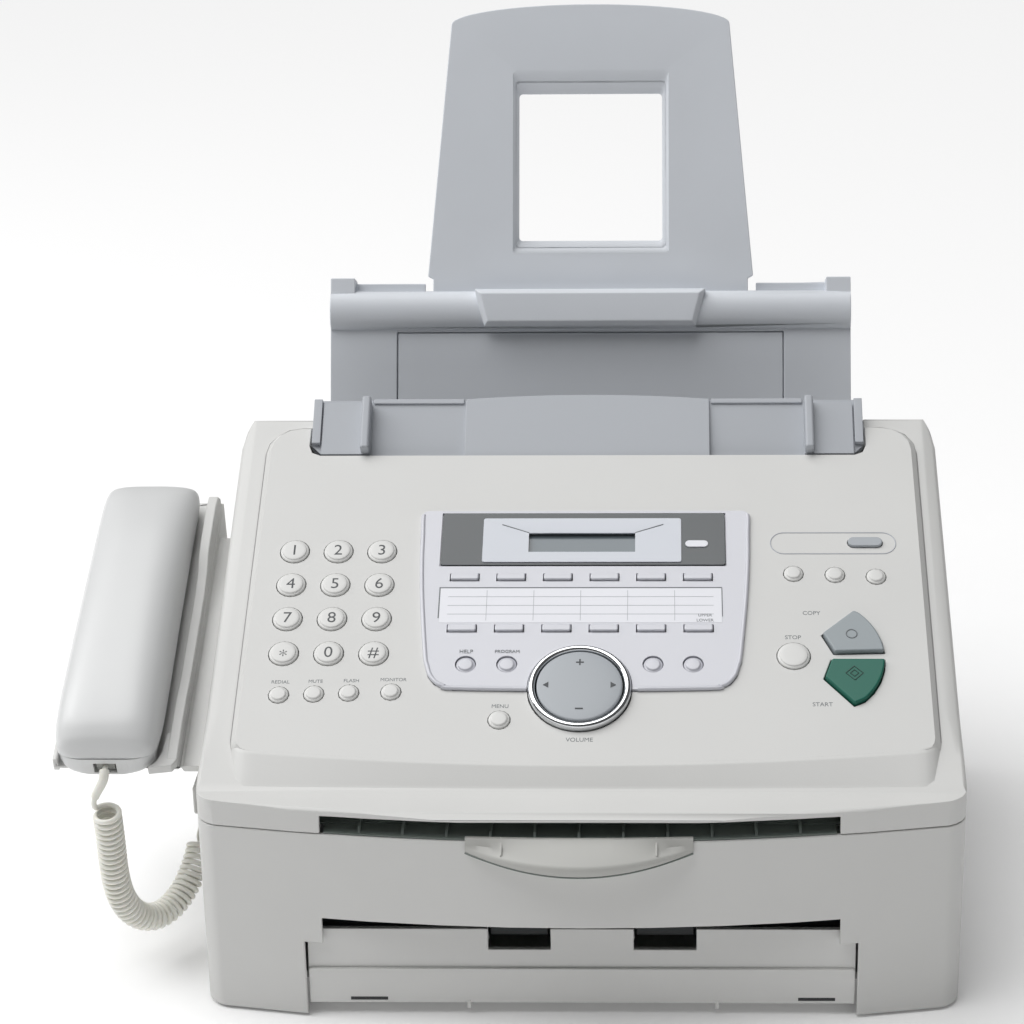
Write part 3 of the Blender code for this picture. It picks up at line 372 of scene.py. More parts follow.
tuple(cord_points[-1])
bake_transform(boot)
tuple(cord_points[0])

# Modular plugs: clear polycarbonate blocks crimped on both ends of the cord, with a latch tongue.
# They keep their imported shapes, because the jacks hide all but their rear faces. They look pale and glassy.
clear_pc, clear_tree, clear_shader = blank("clear_moulded_polycarbonate")
haze = noise(clear_tree, 260.0, 2.0)
haze_range = add(clear_tree, "ShaderNodeMapRange", {"To Min": 0.1, "To Max": 0.25}, {"Value": haze})
clear_tree.links.new(haze_range.outputs["Result"], clear_shader.inputs["Roughness"])
tune(clear_shader, {"Base Color": linear("E6E8E4"), "Transmission Weight": 0.6, "IOR": 1.585})


def dress(node, material):
    """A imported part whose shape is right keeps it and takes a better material."""
    data = frame["nodes"][node].data
    data.materials.clear()
    data.materials.append(material)


for plug in ("handset_plug", "base_plug"):
    dress(plug, clear_pc)

# Lower casing: the outer walls, one ABS moulding with towers for the cover's hinge at the rear.
# The skin has a fine spark-eroded grain, which breaks the highlights into a soft sheen.


def moulded_plastic(name, hexa, roughness, grain_mm=0.9, depth=0.12, mottle=0.02):
    """Injection-moulded plastic: an even colour, a fine eroded grain and slow changes of gloss.
    The real grain is about 0.2 mm across; it is drawn coarser so that it shows at the render's scale."""
    made, tree, shader = blank(name)
    slow = noise(tree, 14.0, 4.0)
    ramp = add(tree, "ShaderNodeValToRGB", links={"Fac": slow})
    base = linear(hexa)
    for element, place, shift in zip(ramp.color_ramp.elements, (0.3, 0.7), (1 - mottle, 1 + mottle)):
        element.position = place
        element.color = tuple(min(1.0, c * shift) for c in base[:3]) + (1.0,)
    fine = noise(tree, 1000 / grain_mm, 2.0)
    gloss_range = {"To Min": roughness - 0.06, "To Max": roughness + 0.06}
    gloss = add(tree, "ShaderNodeMapRange", gloss_range, {"Value": slow})
    bump = add(tree, "ShaderNodeBump", {"Strength": depth, "Distance": 0.0002}, {"Height": fine})
    tree.links.new(ramp.outputs["Color"], shader.inputs["Base Color"])
    tree.links.new(gloss.outputs["Result"], shader.inputs["Roughness"])
    tree.links.new(bump.outputs["Normal"], shader.inputs["Normal"])
    tune(shader, {"IOR": 1.53})
    return made


def fitted(name, bm, material, body, slot, *nodes, smooth=40):
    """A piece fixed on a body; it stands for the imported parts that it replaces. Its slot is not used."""
    made = piece(name, bm, material, smooth)
    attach(made, body)
    if nodes:
        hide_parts(*nodes)


def rounded_edges(bm, edge_mm, segments, sharp, least, test=None, clamp=False):
    """Rounds a mesh's sharp edges, or only those whose middle passes a test."""
    edges = [e for e in bm.edges if len(e.link_faces) == 2 and e.calc_face_angle() > math.radians(sharp)]
    edges = [e for e in edges if e.calc_length() > least * edge_mm / 1000]
    if test:
        edges = [e for e in edges if test((e.verts[0].co + e.verts[1].co) / 2)]
    bmesh.ops.bevel(bm, geom=edges, offset=edge_mm / 1000, segments=segments, profile=0.5, affect="EDGES",
                    clamp_overlap=clamp, loop_slide=True)


def moulding(node, name, material, slot, edge_mm=0.6, least=4.0, wide=(), cutter=None):
    """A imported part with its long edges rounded, as a moulding's are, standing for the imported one.
    The edges that pass a test in wide are rounded by the size beside it; a cutter is taken out first."""
    source = frame["nodes"][node]
    bm = bmesh.new()
    bm.from_mesh(source.data)
    bmesh.ops.remove_doubles(bm, verts=bm.verts, dist=2e-5)
    if cutter:
        bm = bored(bm, cutter)
    bmesh.ops.dissolve_limit(bm, angle_limit=math.radians(1.2), verts=bm.verts, edges=bm.edges)
    for size, test, clamp in wide:
        rounded_edges(bm, size, 4, 32, 1.5, test, clamp)
    rounded_edges(bm, edge_mm, 3, 32, least)
    fitted(name, bm, material, source["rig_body"], slot, node, smooth=34)


def bored(solid, cutter):
    """A solid with the space of another taken out of it."""
    pair = [piece("solid", solid, even=False), piece("cutter", cutter, even=False)]
    step = pair[0].modifiers.new("bore", "BOOLEAN")
    step.operation = "DIFFERENCE"
    step.solver = "EXACT"
    step.object = pair[1]
    cut_mesh = evaluated(pair[0])
    out = bmesh.new()
    out.from_mesh(cut_mesh)
    for made in pair:
        spare = made.data
        bpy.data.objects.remove(made)
        bpy.data.meshes.remove(spare)
    bpy.data.meshes.remove(cut_mesh)
    return out


casing_abs = moulded_plastic("moulded_abs_casing", "D6D6D4", 0.48)
moulding("lower_casing", "lower_casing_shell", casing_abs, "casing", 0.7)

# Casing fittings: louvred vents in both sides, two line jacks, a bare rating plate and screws in the back.
# The louvres are slats of casing ABS over a black board, which is painted shade for the openings between
# them; the jacks are black ABS and the screws zinc-plated.


def upright(x, y, z, degrees):
    """A working frame on a wall: u along it, v up, n out of it; 0 degrees faces the front, 90 the right."""
    c = math.cos(math.radians(degrees))
    s = math.sin(math.radians(degrees))

    def at(u, v, n=0.0):
        return metres(x + u * c + n * s, y + u * s - n * c, z + v)

    return at


def block(outline, low, high, at, edge=0.4, segments=2):
    """A plate with rounded edges: an outline in a working frame's (u, v), raised from low to high."""
    bm = lofted([[at(u, v, n) for u, v in outline] for n in (low, high)])
    if edge:
        edges = [e for e in bm.edges if e.calc_face_angle() > math.radians(30)]
        bmesh.ops.bevel(bm, geom=edges, offset=edge / 1000, segments=segments, profile=0.5, affect="EDGES",
                        clamp_overlap=True)
    return bm


def oblong(u0, u1, v0, v1):
    """A rectangle's corners."""
    return [(u0, v0), (u1, v0), (u1, v1), (u0, v1)]


def together(parts):
    """Several meshes as one."""
    whole = bmesh.new()
    for part in parts:
        loose = bpy.data.meshes.new("loose")
        part.to_mesh(loose)
        part.free()
        whole.from_mesh(loose)
        bpy.data.meshes.remove(loose)
    return whole


def worked_metal(name, hexa, roughness, mark_mm):
    """A metal with fine tool marks, which make its gloss a little uneven."""
    made, tree, shader = blank(name)
    tool_marks = noise(tree, 1000 / mark_mm, 3.0)
    gloss_range = {"To Min": roughness * 0.7, "To Max": roughness * 1.3}
    gloss = add(tree, "ShaderNodeMapRange", gloss_range, {"Value": tool_marks})
    tree.links.new(gloss.outputs["Result"], shader.inputs["Roughness"])
    tune(shader, {"Base Color": linear(hexa), "Metallic": 1.0})
    return made


def circle(u, v, radius, start=0.0, end=360.0, steps=24):
    """Points of an arc, in degrees; a whole circle leaves out its last point."""
    count = steps if end - start >= 360 else steps + 1
    turns = [math.radians(start + (end - start) * i / steps) for i in range(count)]
    return [(u + radius * math.cos(a), v + radius * math.sin(a)) for a in turns]


def turned(profile, at, u, v, sides=40):
    """A shape turned about a working frame's normal at (u, v), from points of (radius, height)."""
    bm = bmesh.new()
    rings = []
    for radius, n in profile:
        spots = circle(u, v, radius, steps=sides) if radius else [(u, v)]
        rings.append([bm.verts.new(at(*spot, n)) for spot in spots])
    pairs = list(zip(rings, rings[1:]))
    if profile[0][0] and profile[-1][0]:
        pairs.append((rings[-1], rings[0]))
    for low, high in pairs:
        for i in range(sides):
            corners = [ring[k % len(ring)] for ring, k in ((low, i - 1), (low, i), (high, i), (high, i - 1))]
            bm.faces.new(list(dict.fromkeys(corners)))
    bmesh.ops.recalc_face_normals(bm, faces=bm.faces)
    return bm


black_abs = moulded_plastic("black_moulded_abs", "26282A", 0.5)
zinc = worked_metal("zinc_plated_steel", "C4C7C9", 0.34, 0.8)
SLATS = 11
SLAT_PITCH_MM = 6.0
for side, wall in (("left", upright(-182.0, 214.0, 34.0, -90)), ("right", upright(182.0, 214.0, 34.0, 90))):
    half = SLATS * SLAT_PITCH_MM / 2
    # The black board under the slats is painted shade for the vent's openings.
    shade_backing = block(oblong(-half, half, 0, 30), -0.4, 0.15, wall, 0.1, 1)
    fitted(f"vent_shade_board_{side}", shade_backing, black_abs, "machine", "black")
    slats = []
    for i in range(SLATS):
        middle = -half + SLAT_PITCH_MM * (i + 0.5)
        slats.append(block(oblong(middle - 1.9, middle + 1.9, -0.6, 30.6), -0.4, 1.0, wall, 0.5))
    for low, high in ((-2.4, 0.4), (29.6, 32.4)):
        slats.append(block(oblong(-half - 1.6, half + 1.6, low, high), -0.4, 1.0, wall, 0.5))
    fitted(f"vent_slats_{side}", together(slats), casing_abs, "machine", "casing")
back = upright(0.0, 284.0, 0.0, 180)
jacks = []
for u in (-166.0, -150.0):
    socket = block(oblong(u - 6.4, u + 6.4, 58, 71), -0.4, 1.6, back, 0.5)
    jacks.append(bored(socket, block(oblong(u - 4.6, u + 4.6, 60, 67.5), 0.2, 3.0, back, 0)))
fitted("line_jacks", together(jacks), black_abs, "machine", "black")
foil = worked_metal("matt_aluminium_foil", "D9DADB", 0.5, 1.2)
rating = block(oblong(20, 92, 100, 132), -0.5, 0.15, back, 0.1, 1)
fitted("bare_rating_plate", rating, foil, "machine", "steel")
SCREW = [(0, -0.4), (3.2, -0.4), (3.2, 0.7), (2.7, 1.4), (1.6, 1.8), (1.1, 1.8), (0.8, 1.0), (0, 1.0)]
heads = [turned(SCREW, back, u, v, 20) for u in (-174.0, 174.0) for v in (6.0, 80.0)]
heads += [turned(SCREW, back, u, 176.0, 20) for u in (-165.0, 165.0)]
fitted("casing_screws", together(heads), zinc, "machine", "steel")

# Chassis: the inner ABS moulding with the recessed front panel, the bearing walls and the feet.
# A dark gap is left above the panel, and two slots and two pegs in its lower edge locate it on the casing.
chassis_abs = moulded_plastic("moulded_abs_chassis", "DEDEDC", 0.52)
lower_front = upright(0.0, 12.2, 0.0, 0)
PANEL_TOP_Z = 38.5
WINDOW_LOW_Z = 27.3
ROLLER_WINDOWS = ((54.9, 25.1), (-14.5, -44.3))
gap = [(-132, PANEL_TOP_Z), (-132, 60), (132, 60), (132, PANEL_TOP_Z)]
for right_u, left_u in ROLLER_WINDOWS:
    gap += [(right_u, PANEL_TOP_Z), (right_u, WINDOW_LOW_Z), (left_u, WINDOW_LOW_Z), (left_u, PANEL_TOP_Z)]
gap_above = block(gap, -4.6, 4.0, lower_front, 0)
moulding("base_frame", "chassis_moulding", chassis_abs, "chassis", 0.5, cutter=gap_above)
SLOT_PLACES = ((-110.9, -93.0), (103.6, 121.3))
# The slots are thin black blocks on the panel's face: painted shade standing for the openings.
slot_shades = [block(oblong(u0, u1, 0.2, 1.9), -0.4, 0.12, lower_front, 0.05, 1) for u0, u1 in SLOT_PLACES]
fitted("locating_slot_shades", together(slot_shades), black_abs, "machine", "black")
pegs = [block(oblong(u - 0.9, u + 0.9, -4.2, 0.0), -1.6, 0.4, lower_front, 0.3) for u in (-54.1, 64.9)]
fitted("locating_pegs", together(pegs), chassis_abs, "machine", "chassis")
fillet = block(oblong(-129.8, 129.8, 16.2, 17.6), -1.2, 0.5, lower_front, 0.35)
fitted("front_panel_step", fillet, chassis_abs, "machine", "chassis")

# Paper path: rubber rollers on steel shafts, the fuser's steel heat roller and the coated drum.
# The rubber is matt and picks up no highlight; the drum's organic coating is a glossy blue-green.
roller_rubber = moulded_plastic("moulded_epdm_rubber", "2B2E2F", 0.75, 0.8, 0.2)
for use in ("transfer", "fuser_pressure", "pickup", "exit", "document_feed"):
    dress(f"{use}_roller", roller_rubber)
steel = worked_metal("turned_steel", "B9BCBE", 0.32, 0.6)
for node in ("fuser_heat_roller", "drive_motor", "motor_pinion"):
    dress(node, steel)
drum_coat = moulded_plastic("organic_photoconductor_coating", "3C7F86", 0.2, 0.8, 0.02)
dress("drum", drum_coat)

# Units inside: the toner cartridge with its grip, the laser unit, the sensor bar, the boards and the inlet.
# They are black glass-filled ABS and green fibreglass boards, screwed or clipped into the chassis.
moulding("toner_cartridge", "toner_box", black_abs, "black", 0.8)
grip_green = moulded_plastic("green_moulded_abs_grip", "3F7F73", 0.45)
flat = slope(0.0, 0.0, 0.0, 0.0)
RIB_PLACES = [-96.0 + 24.0 * i for i in range(9)]
ribs = [block(oblong(x - 1.0, x + 1.0, 106, 152), 111.5, 113.2, flat, 0.4) for x in RIB_PLACES]
fitted("toner_box_ribs", together(ribs), black_abs, "toner_cartridge", "black")
grip_pad = block(oblong(-38, 38, 157.4, 164.6), 112.5, 120.6, flat, 1.0, 3)
fitted("toner_box_grip", grip_pad, grip_green, "toner_cartridge", "key_green")
moulding("laser_unit", "laser_box", black_abs, "black", 0.8)
moulding("image_sensor", "sensor_bar", black_abs, "black", 0.5)
moulding("power_inlet", "mains_inlet", black_abs, "black", 0.5)
brass = worked_metal("nickel_plated_brass", "CFC9B8", 0.25, 0.7)
PIN = [(0, -11.0), (1.6, -11.0), (1.6, -1.6), (0, -1.2)]
pins = [turned(PIN, back, u, 32.5, 12) for u in (151.5, 160.5)]
fitted("mains_pins", together(pins), brass, "machine", "steel")
board_mask = moulded_plastic("green_solder_mask_on_fibreglass", "2E5B3C", 0.4, 0.8, 0.2, 0.08)
for node in ("key_board", "main_board"):
    dress(node, board_mask)

# Rear door: a flat panel of casing ABS over the paper path, with a finger pull at the top.
# It is hinged along its lower edge and opens outwards.
moulding("rear_cover", "rear_door", casing_abs, "casing", 0.5)
pull = block([(-22, 66), (22, 66), (19, 73), (-19, 73)], -0.5, 2.2, back, 1.0, 3)
fitted("rear_door_pull", pull, casing_abs, "rear_cover", "casing")

# Document exit: a grey-green ribbed guide inside the upper slot, darkened partly by painted shade, and a
# rounded lip on the front wall.
# Both are ABS and fixed in the machine; the lip is matt casing ABS greyed by painted shade, with a dark line
# of painted shadow under its nose.
FRONT_BOW_MM = 855.0
LIP_HALF_MM = 53.0
LIP_REACH_MM = 13.3
LIP_RINGS = 33
SHADOW_LINE_POINT = 8


def bow(x):
    """How far the front wall lies behind its most forward point, at a distance from the middle."""
    return x * x / (2 * FRONT_BOW_MM)


def side_on(y, z, x):
    """A working frame of (y, z) outlines that are raised along X."""
    return metres(x, y, z)


# The guide's dark grey-green is partly the plastic's own colour and partly painted shade of the slot's
# interior.
guide_abs_painted_shade = moulded_plastic("grey_green_abs_with_painted_shade", "6A736E", 0.5)
plate_x = [-120.0 + 20.0 * i for i in range(13)]
guide_floor = [(x, bow(x) + 1.2) for x in plate_x] + [(120, 20), (-120, 20)]
ramp_profile = [(18, 91.6), (40, 92.1), (62, 98), (62, 100), (40, 94.6), (18, 93.0)]
guide_parts = [block(guide_floor, 91.5, 92.2, flat, 0.1, 1), block(ramp_profile, -140, 140, side_on, 0.3)]
for i in range(-5, 6):
    x = 20.6 * i
    rib = [(bow(x) + 2.4, 92.0), (20, 92.0), (60, 98.5), (60, 101.5), (40, 97.0), (20, 95.4),
           (bow(x) + 5, 94.6)]
    guide_parts.append(block(rib, x - 0.7, x + 0.7, side_on, 0.2, 1))
fitted("exit_guide", together(guide_parts), guide_abs_painted_shade, "machine", "chassis")


def lip_share(x):
    """How far along the lip a point is, as the square of its share of the half width."""
    return (x / (LIP_HALF_MM + 1)) ** 2


def lip_nose(x):
    """How far forward the lip reaches, at a distance from the middle."""
    return bow(x) - 0.9 - LIP_REACH_MM * (1 - lip_share(x))


def lip_ring(x):
    """The lip's section: a sloped top, a rounded nose and a lower edge that bows down."""
    share = lip_share(x)
    heel = bow(x) - 0.35
    nose = lip_nose(x)
    low = 80.2 + 5.6 * share
    reach = min(1.0, (heel - nose) / 6.0)
    points = [(heel + 2.6, 91.7), (heel + 2.6, 93.2), (heel, 93.6), (nose + 5.0 * reach, 88.6 + 1.8 * share),
              (nose + 1.4 * reach, 86.6 + 2.4 * share), (nose + 0.4 * reach, 85.6 + 2.6 * share),
              (nose, 84.4 + 2.8 * share), (nose + 0.2 * reach, low + 1.6), (nose + 0.8 * reach, low + 0.6),
              (nose + 1.8 * reach, low), (heel, low), (heel, 91.7)]
    return [metres(x, y, z) for y, z in points]


middle_ring = LIP_RINGS // 2
lip_rings = [lip_ring(LIP_HALF_MM * (i - middle_ring) / middle_ring) for i in range(LIP_RINGS)]
lip_parts = [lofted(lip_rings)]
for x in (-36.0, 36.0):
    wall = bow(x) + 1.0
    front = lip_nose(x)
    ridge = [(wall, 91.8), (wall, 93.9), (front + 4.0, 90.2), (front + 1.5, 88.6), (front + 1.5, 86.4)]
    lip_parts.append(block(ridge, x - 0.5, x + 0.5, side_on, 0.2, 1))
# The lip is the casing's ABS drawn darker, as painted shade.
lip_abs_painted_shade = moulded_plastic("shaded_moulded_abs_lip", "B8B8B4", 0.5)
# A thin dark tube along the nose's underside is painted shadow, cast by the lip on the wall below.
shadow_line_run = [ring[SHADOW_LINE_POINT] for ring in lip_rings]
fitted("exit_lip_painted_shadow_line", tube(shadow_line_run, 0.0005, 8), guide_abs_painted_shade, "machine", "chassis")
fitted("exit_lip_moulding", together(lip_parts), lip_abs_painted_shade, "machine", "casing", "exit_lip")

# Upper cover: the sloping operation panel with its raised island and side skirts, one ABS moulding.
# It is hinged at the rear. Its outer edges and the island's step have a large soft radius, and a soft ramp
# runs down from the island's front edge.
PANEL_Y = 28.0
PANEL_Z = 110.0
PANEL_DEGREES = 28.0
panel = slope(0.0, PANEL_Y, PANEL_Z, PANEL_DEGREES)


def on_panel(spot):
    """A point of the cover in millimetres: along X, up the panel and above it."""
    x, y, z = spot * 1000 + MACHINE_ZERO_MM - Vector((0, PANEL_Y, PANEL_Z))
    c = math.cos(math.radians(PANEL_DEGREES))
    s = math.sin(math.radians(PANEL_DEGREES))
    return x, y * c + z * s, z * c - y * s


def on_outer_edge(spot):
    """Whether a point lies on the cover's outer upper edge, along the sides and round the front corners."""
    x, v, n = on_panel(spot)
    return n > -9 and (abs(x) > 181 or (abs(x) > 112 and v < -5 and n > 2))


def on_step(spot):
    """Whether a point lies on the step round the raised island."""
    x, v, n = on_panel(spot)
    return min(abs(n), abs(n + 3.65)) < 0.3 and (x < -160 or x > 163 or v < 21)


moulding("upper_cover", "cover_moulding", casing_abs, "casing", 0.5, 6.0,
         ((2.4, on_outer_edge, False), (1.5, on_step, True)))
RAMP_HALF_MM = 169.0
RAMP_MIDDLE_MM = 1.75
RAMP_STEPS = 84
ramp_rings = []
for i in range(RAMP_STEPS + 1):
    x = RAMP_MIDDLE_MM - RAMP_HALF_MM + 2 * RAMP_HALF_MM * i / RAMP_STEPS
    taper = min(1.0, (RAMP_HALF_MM - abs(x - RAMP_MIDDLE_MM)) / 9.0)
    taper = math.sqrt(taper * (2 - taper))
    crest = 9.9 + x * x / 3400.0 - 1.6 * taper + 4.0 * (1 - taper)
    foot = crest - 2.0 - (8.0 + x * x / 4200.0) * taper
    drop = 3.3 * (1 - taper)
    ramp_rings.append([panel(x, v, n) for v, n in (
        (crest + 7, -0.25 - drop), (crest + 0.6, 0.03 - drop), (crest - 0.7, -0.12 - drop),
        (foot + 0.8, -3.4), (foot - 0.6, -3.62), (crest + 7, -6.0))])
fitted("cover_front_ramp", lofted(ramp_rings), casing_abs, "cover", "casing", smooth=50)

# Silver fascia: an ABS plate sprayed in satin silver, let into the island round the display and station keys.
# A bright bead is moulded round its sides and lower edge; the metal flakes give a cool, broad sheen.
silver_paint = moulded_plastic("satin_silver_paint_on_abs", "CDCED5", 0.3, 0.6, 0.05)
tune(silver_paint.node_tree.nodes["Principled BSDF"], {"Coat Weight": 0.3, "Coat Roughness": 0.2})
NAVIGATOR = (-1.1, 53.5)
NAVIGATOR_RADIUS_MM = 25.2
FASCIA_SPOTS = ((-56.9, 67.7), (-36.8, 67.7), (34.4, 67.7), (53.9, 67.7))
STATION_X = [-59.7 + 23.3 * i for i in range(6)]
STATION_S = (122.2, 89.7)
FASCIA_SIDE = ((80.5, 166.0), (82.9, 163.0), (82.6, 149.0), (82.3, 135.0), (81.5, 119.0), (80.3, 103.0),
               (77.3, 72.7), (76.0, 66.5), (74.4, 61.0), (71.2, 56.4), (67.2, 54.3), (62.0, 53.2),
               (0.0, 52.0))
fascia_side = smooth_path([Vector(spot) for spot in FASCIA_SIDE], 5)
fascia_edge = [(-u, s) for u, s in fascia_side] + [(u, s) for u, s in fascia_side[-2::-1]]
openings = [block(circle(*NAVIGATOR, NAVIGATOR_RADIUS_MM + 0.35, steps=72), -8, 8, panel, 0)]
for x in STATION_X:
    openings += [block(oblong(x - 7.5, x + 7.5, s - 2.5, s + 2.5), -8, 8, panel, 0) for s in STATION_S]
openings += [block(circle(*spot, 5.15, steps=36), -8, 8, panel, 0) for spot in FASCIA_SPOTS]
openings.append(block(oblong(-72.8, 71.2, 129.4, 164.4), 0.2, 8, panel, 0))
plate = bored(block(fascia_edge, -2.05, 1.3, panel, 0.8, 3), together(openings))
plate = bored(plate, block(oblong(-34.0, 31.0, 136.5, 155.5), -8, 4, panel, 0))
fitted("fascia_plate", plate, silver_paint, "cover", "silver", "panel_fascia", smooth=34)
beads = []
for side in (-1, 1):
    run = [panel(side * (u - 0.5), v + 0.4, 0.8) for u, v in fascia_side if v < 164 and u > 24]
    beads.append(tube(resampled(run, 0.0015), 0.0012, 10))
fitted("fascia_bead", together(beads), silver_paint, "cover", "silver")

# Station card: a printed card with a plain grid under a clear strip, between the two rows of station keys.
# Thin dark lines of painted shadow lie along its upper and left edges, and a narrower one along its right
# edge, where it drops below the fascia.


def ink(name, hexa):
    """Printing ink: a thin, even, half-matt film."""
    return moulded_plastic(name, hexa, 0.5, 1.0, 0.02)


card_paper = moulded_plastic("coated_card_under_clear_pvc", "E2E3E9", 0.25, 1.0, 0.02)
# This grey serves for print, and also paints the shadow lines along the station card's edges.
ink_grey_and_painted_shadow = ink("grey_printing_ink_and_painted_shadow", "6E7376")
ink_pale = ink("pale_grey_printing_ink", "B3B6BC")
CARD = (-71.4, 68.4, 93.2, 115.2)
fitted("station_card", block(oblong(*CARD), 1.0, 1.42, panel, 0.1, 1), card_paper, "cover", "silver")
left_u, right_u, low_s, high_s = CARD
card_shadow_strips = (oblong(left_u - 0.6, right_u + 0.3, high_s, high_s + 0.6),
              oblong(left_u - 0.6, left_u, low_s + 3, high_s),
              oblong(right_u, right_u + 0.4, low_s + 4, high_s))
shadow_strips = [block(outline, 1.0, 1.5, panel, 0.1, 1) for outline in card_shadow_strips]
fitted("station_card_painted_shadow", together(shadow_strips), ink_grey_and_painted_shadow, "cover", "lens_dark")
rules = []
for i in range(1, 4):
    s = low_s + (high_s - low_s) * i / 4
    rules.append(oblong(left_u + 4, right_u - 4, s - 0.15, s + 0.15))
for i in range(1, 6):
    u = left_u + (right_u - left_u) * i / 6
    rules.append(oblong(u - 0.15, u + 0.15, low_s + 1.5, high_s - 1.5))
grid = [block(outline, 1.3, 1.48, panel, 0) for outline in rules]
fitted("station_card_grid", together(grid), ink_pale, "cover", "silver")

# Display: a smoked acrylic band with a pale frame round the liquid crystal window, and a bare lamp beside it.
# The band is glossy, the frame is clear acrylic painted pale grey on its back, and the glass is grey-green.


def soft_oblong(u0, u1, v0, v1, radius, steps=4):
    """A rectangle with rounded corners."""
    return (circle(u1 - radius, v0 + radius, radius, -90, 0, steps)
            + circle(u1 - radius, v1 - radius, radius, 0, 90, steps)
            + circle(u0 + radius, v1 - radius, radius, 90, 180, steps)
            + circle(u0 + radius, v0 + radius, radius, 180, 270, steps))


WINDOW = (-28.3, 25.4, 137.8, 150.2)


def window_space():
    """The window's opening through the band and its frame."""
    return block(oblong(*WINDOW), -1.0, 6.0, panel, 0)


smoked_acrylic = moulded_plastic("smoked_acrylic", "3A4043", 0.22, 0.6, 0.02)
band = bored(block(soft_oblong(-72.4, 70.8, 129.8, 164.0, 1.6), 0.55, 1.9, panel, 0.3), window_space())
fitted("display_band", band, smoked_acrylic, "cover", "lens_dark", "display_lens")
frame_acrylic = moulded_plastic("back_painted_acrylic_frame", "C9CDD5", 0.2, 0.6, 0.02)
brow = [(-42.2, 155.8), (39.8, 155.8), (WINDOW[1], 150.2), (WINDOW[0], 150.2)]
brow_low = [panel(u, v, n) for (u, v), n in zip(brow, (2.5, 2.5, 1.9, 1.9))]
wedge = lofted([brow_low, [panel(u, v, 4.0) for u, v in brow]])
bezel = block(soft_oblong(-51.5, 48.7, 131.3, 160.1, 1.2), 1.7, 2.5, panel, 0.25)
bezel = bored(bored(bezel, window_space()), wedge)
fitted("display_frame", bezel, frame_acrylic, "cover", "lcd")
brow_run = [panel(WINDOW[0], 150.4, 2.35), panel(-42.0, 155.8, 2.5), panel(39.6, 155.8, 2.5),
            panel(WINDOW[1], 150.4, 2.35)]
brow_lines = [tube([a, (a + b) / 2, b], 0.0003, 8) for a, b in zip(brow_run, brow_run[1:])]
fitted("display_brow_line", together(brow_lines), ink_grey_and_painted_shadow, "cover", "lens_dark")
lcd_glass = moulded_plastic("liquid_crystal_glass", "6C767C", 0.16, 0.8, 0.01, 0.03)
dress("lcd_module", lcd_glass)
lamp = block(soft_oblong(50.6, 62.2, 141.1, 145.4, 2.1), 1.6, 2.6, panel, 0.4)
fitted("bare_lamp", lamp, card_paper, "cover", "lcd")

# Navigator: a rocker disc of grey ABS that tips four ways inside a ring of chromed ABS.
# The chrome is mirror-bright with dark and pale bands; the disc has a fine satin grain.
key_grey = moulded_plastic("grey_moulded_abs_keys", "A9AEB3", 0.4, 0.7, 0.08)
chrome = worked_metal("bright_chrome_plating", "D9DBDD", 0.07, 3.0)
ring_profile = [(21.4, -6.0), (25.2, -6.0), (25.2, 1.2), (25.1, 2.1), (24.7, 2.9), (24.1, 3.4), (23.3, 3.6),
                (22.5, 3.4), (21.9, 2.9), (21.5, 2.1)]
bezel_ring = turned(ring_profile, panel, *NAVIGATOR, 72)
fitted("navigator_bezel", bezel_ring, chrome, "cover", "chrome", "navigator_ring")
disc_profile = [(0, -3.6), (18.5, -3.6), (20.4, -2.6), (20.9, 1.8), (20.8, 2.4), (20.5, 2.8), (19.8, 3.1),
                (16.0, 3.4), (12.0, 3.7), (6.0, 3.85), (0, 3.9)]
rocker = turned(disc_profile, panel, *NAVIGATOR, 72)
fitted("navigator_rocker", rocker, key_grey, "navigator_disc", "key_grey", "navigator_disc")
dress("navigator_gimbal", chassis_abs)
ink_dark = ink("dark_pad_printing_ink", "3C4043")
nu, nv = NAVIGATOR
marks = [block(oblong(nu - 1.9, nu + 1.9, nv + 13.2, nv + 13.9), 3.3, 3.75, panel, 0),
         block(oblong(nu - 0.35, nu + 0.35, nv + 11.65, nv + 15.45), 3.3, 3.74, panel, 0),
         block(oblong(nu - 1.9, nu + 1.9, nv - 14.6, nv - 13.9), 3.3, 3.72, panel, 0)]
for side in (-1, 1):
    tip = [(nu + side * 17.6, nv), (nu + side * 15.0, nv + 1.8), (nu + side * 15.0, nv - 1.8)]
    marks.append(block(tip, 3.2, 3.58, panel, 0))
fitted("navigator_marks", together(marks), ink_dark, "navigator_disc", "lens_dark")

# Dial keys: twelve white ABS caps, each a flat disc that stands on a wider skirt, pressed onto rubber domes.
# Their plain numerals are pad-printed in grey.
key_abs = moulded_plastic("white_moulded_abs_keys", "DCDCDA", 0.42, 0.7, 0.06)
KEY_FOOT = (-8.7, -7.4)
CAPITAL_SHARE = 0.69


def letters(text, at, u, v, n, height):
    """Flat printed characters of a given height, centred on a spot of a working frame."""
    curve = bpy.data.curves.new("print", "FONT")
    curve.body = text
    curve.size = height / CAPITAL_SHARE
    curve.align_x = "CENTER"
    curve.extrude = 0.04
    curve.resolution_u = 4
    holder = bpy.data.objects.new("print", curve)
    bpy.context.scene.collection.objects.link(holder)
    flat_mesh = evaluated(holder)
    bm = bmesh.new()
    bm.from_mesh(flat_mesh)
    for vert in bm.verts:
        vert.co = at(u + vert.co.x, v + vert.co.y - height / 2, n + vert.co.z)
    bpy.data.objects.remove(holder)
    bpy.data.curves.remove(curve)
    bpy.data.meshes.remove(flat_mesh)
    return bm


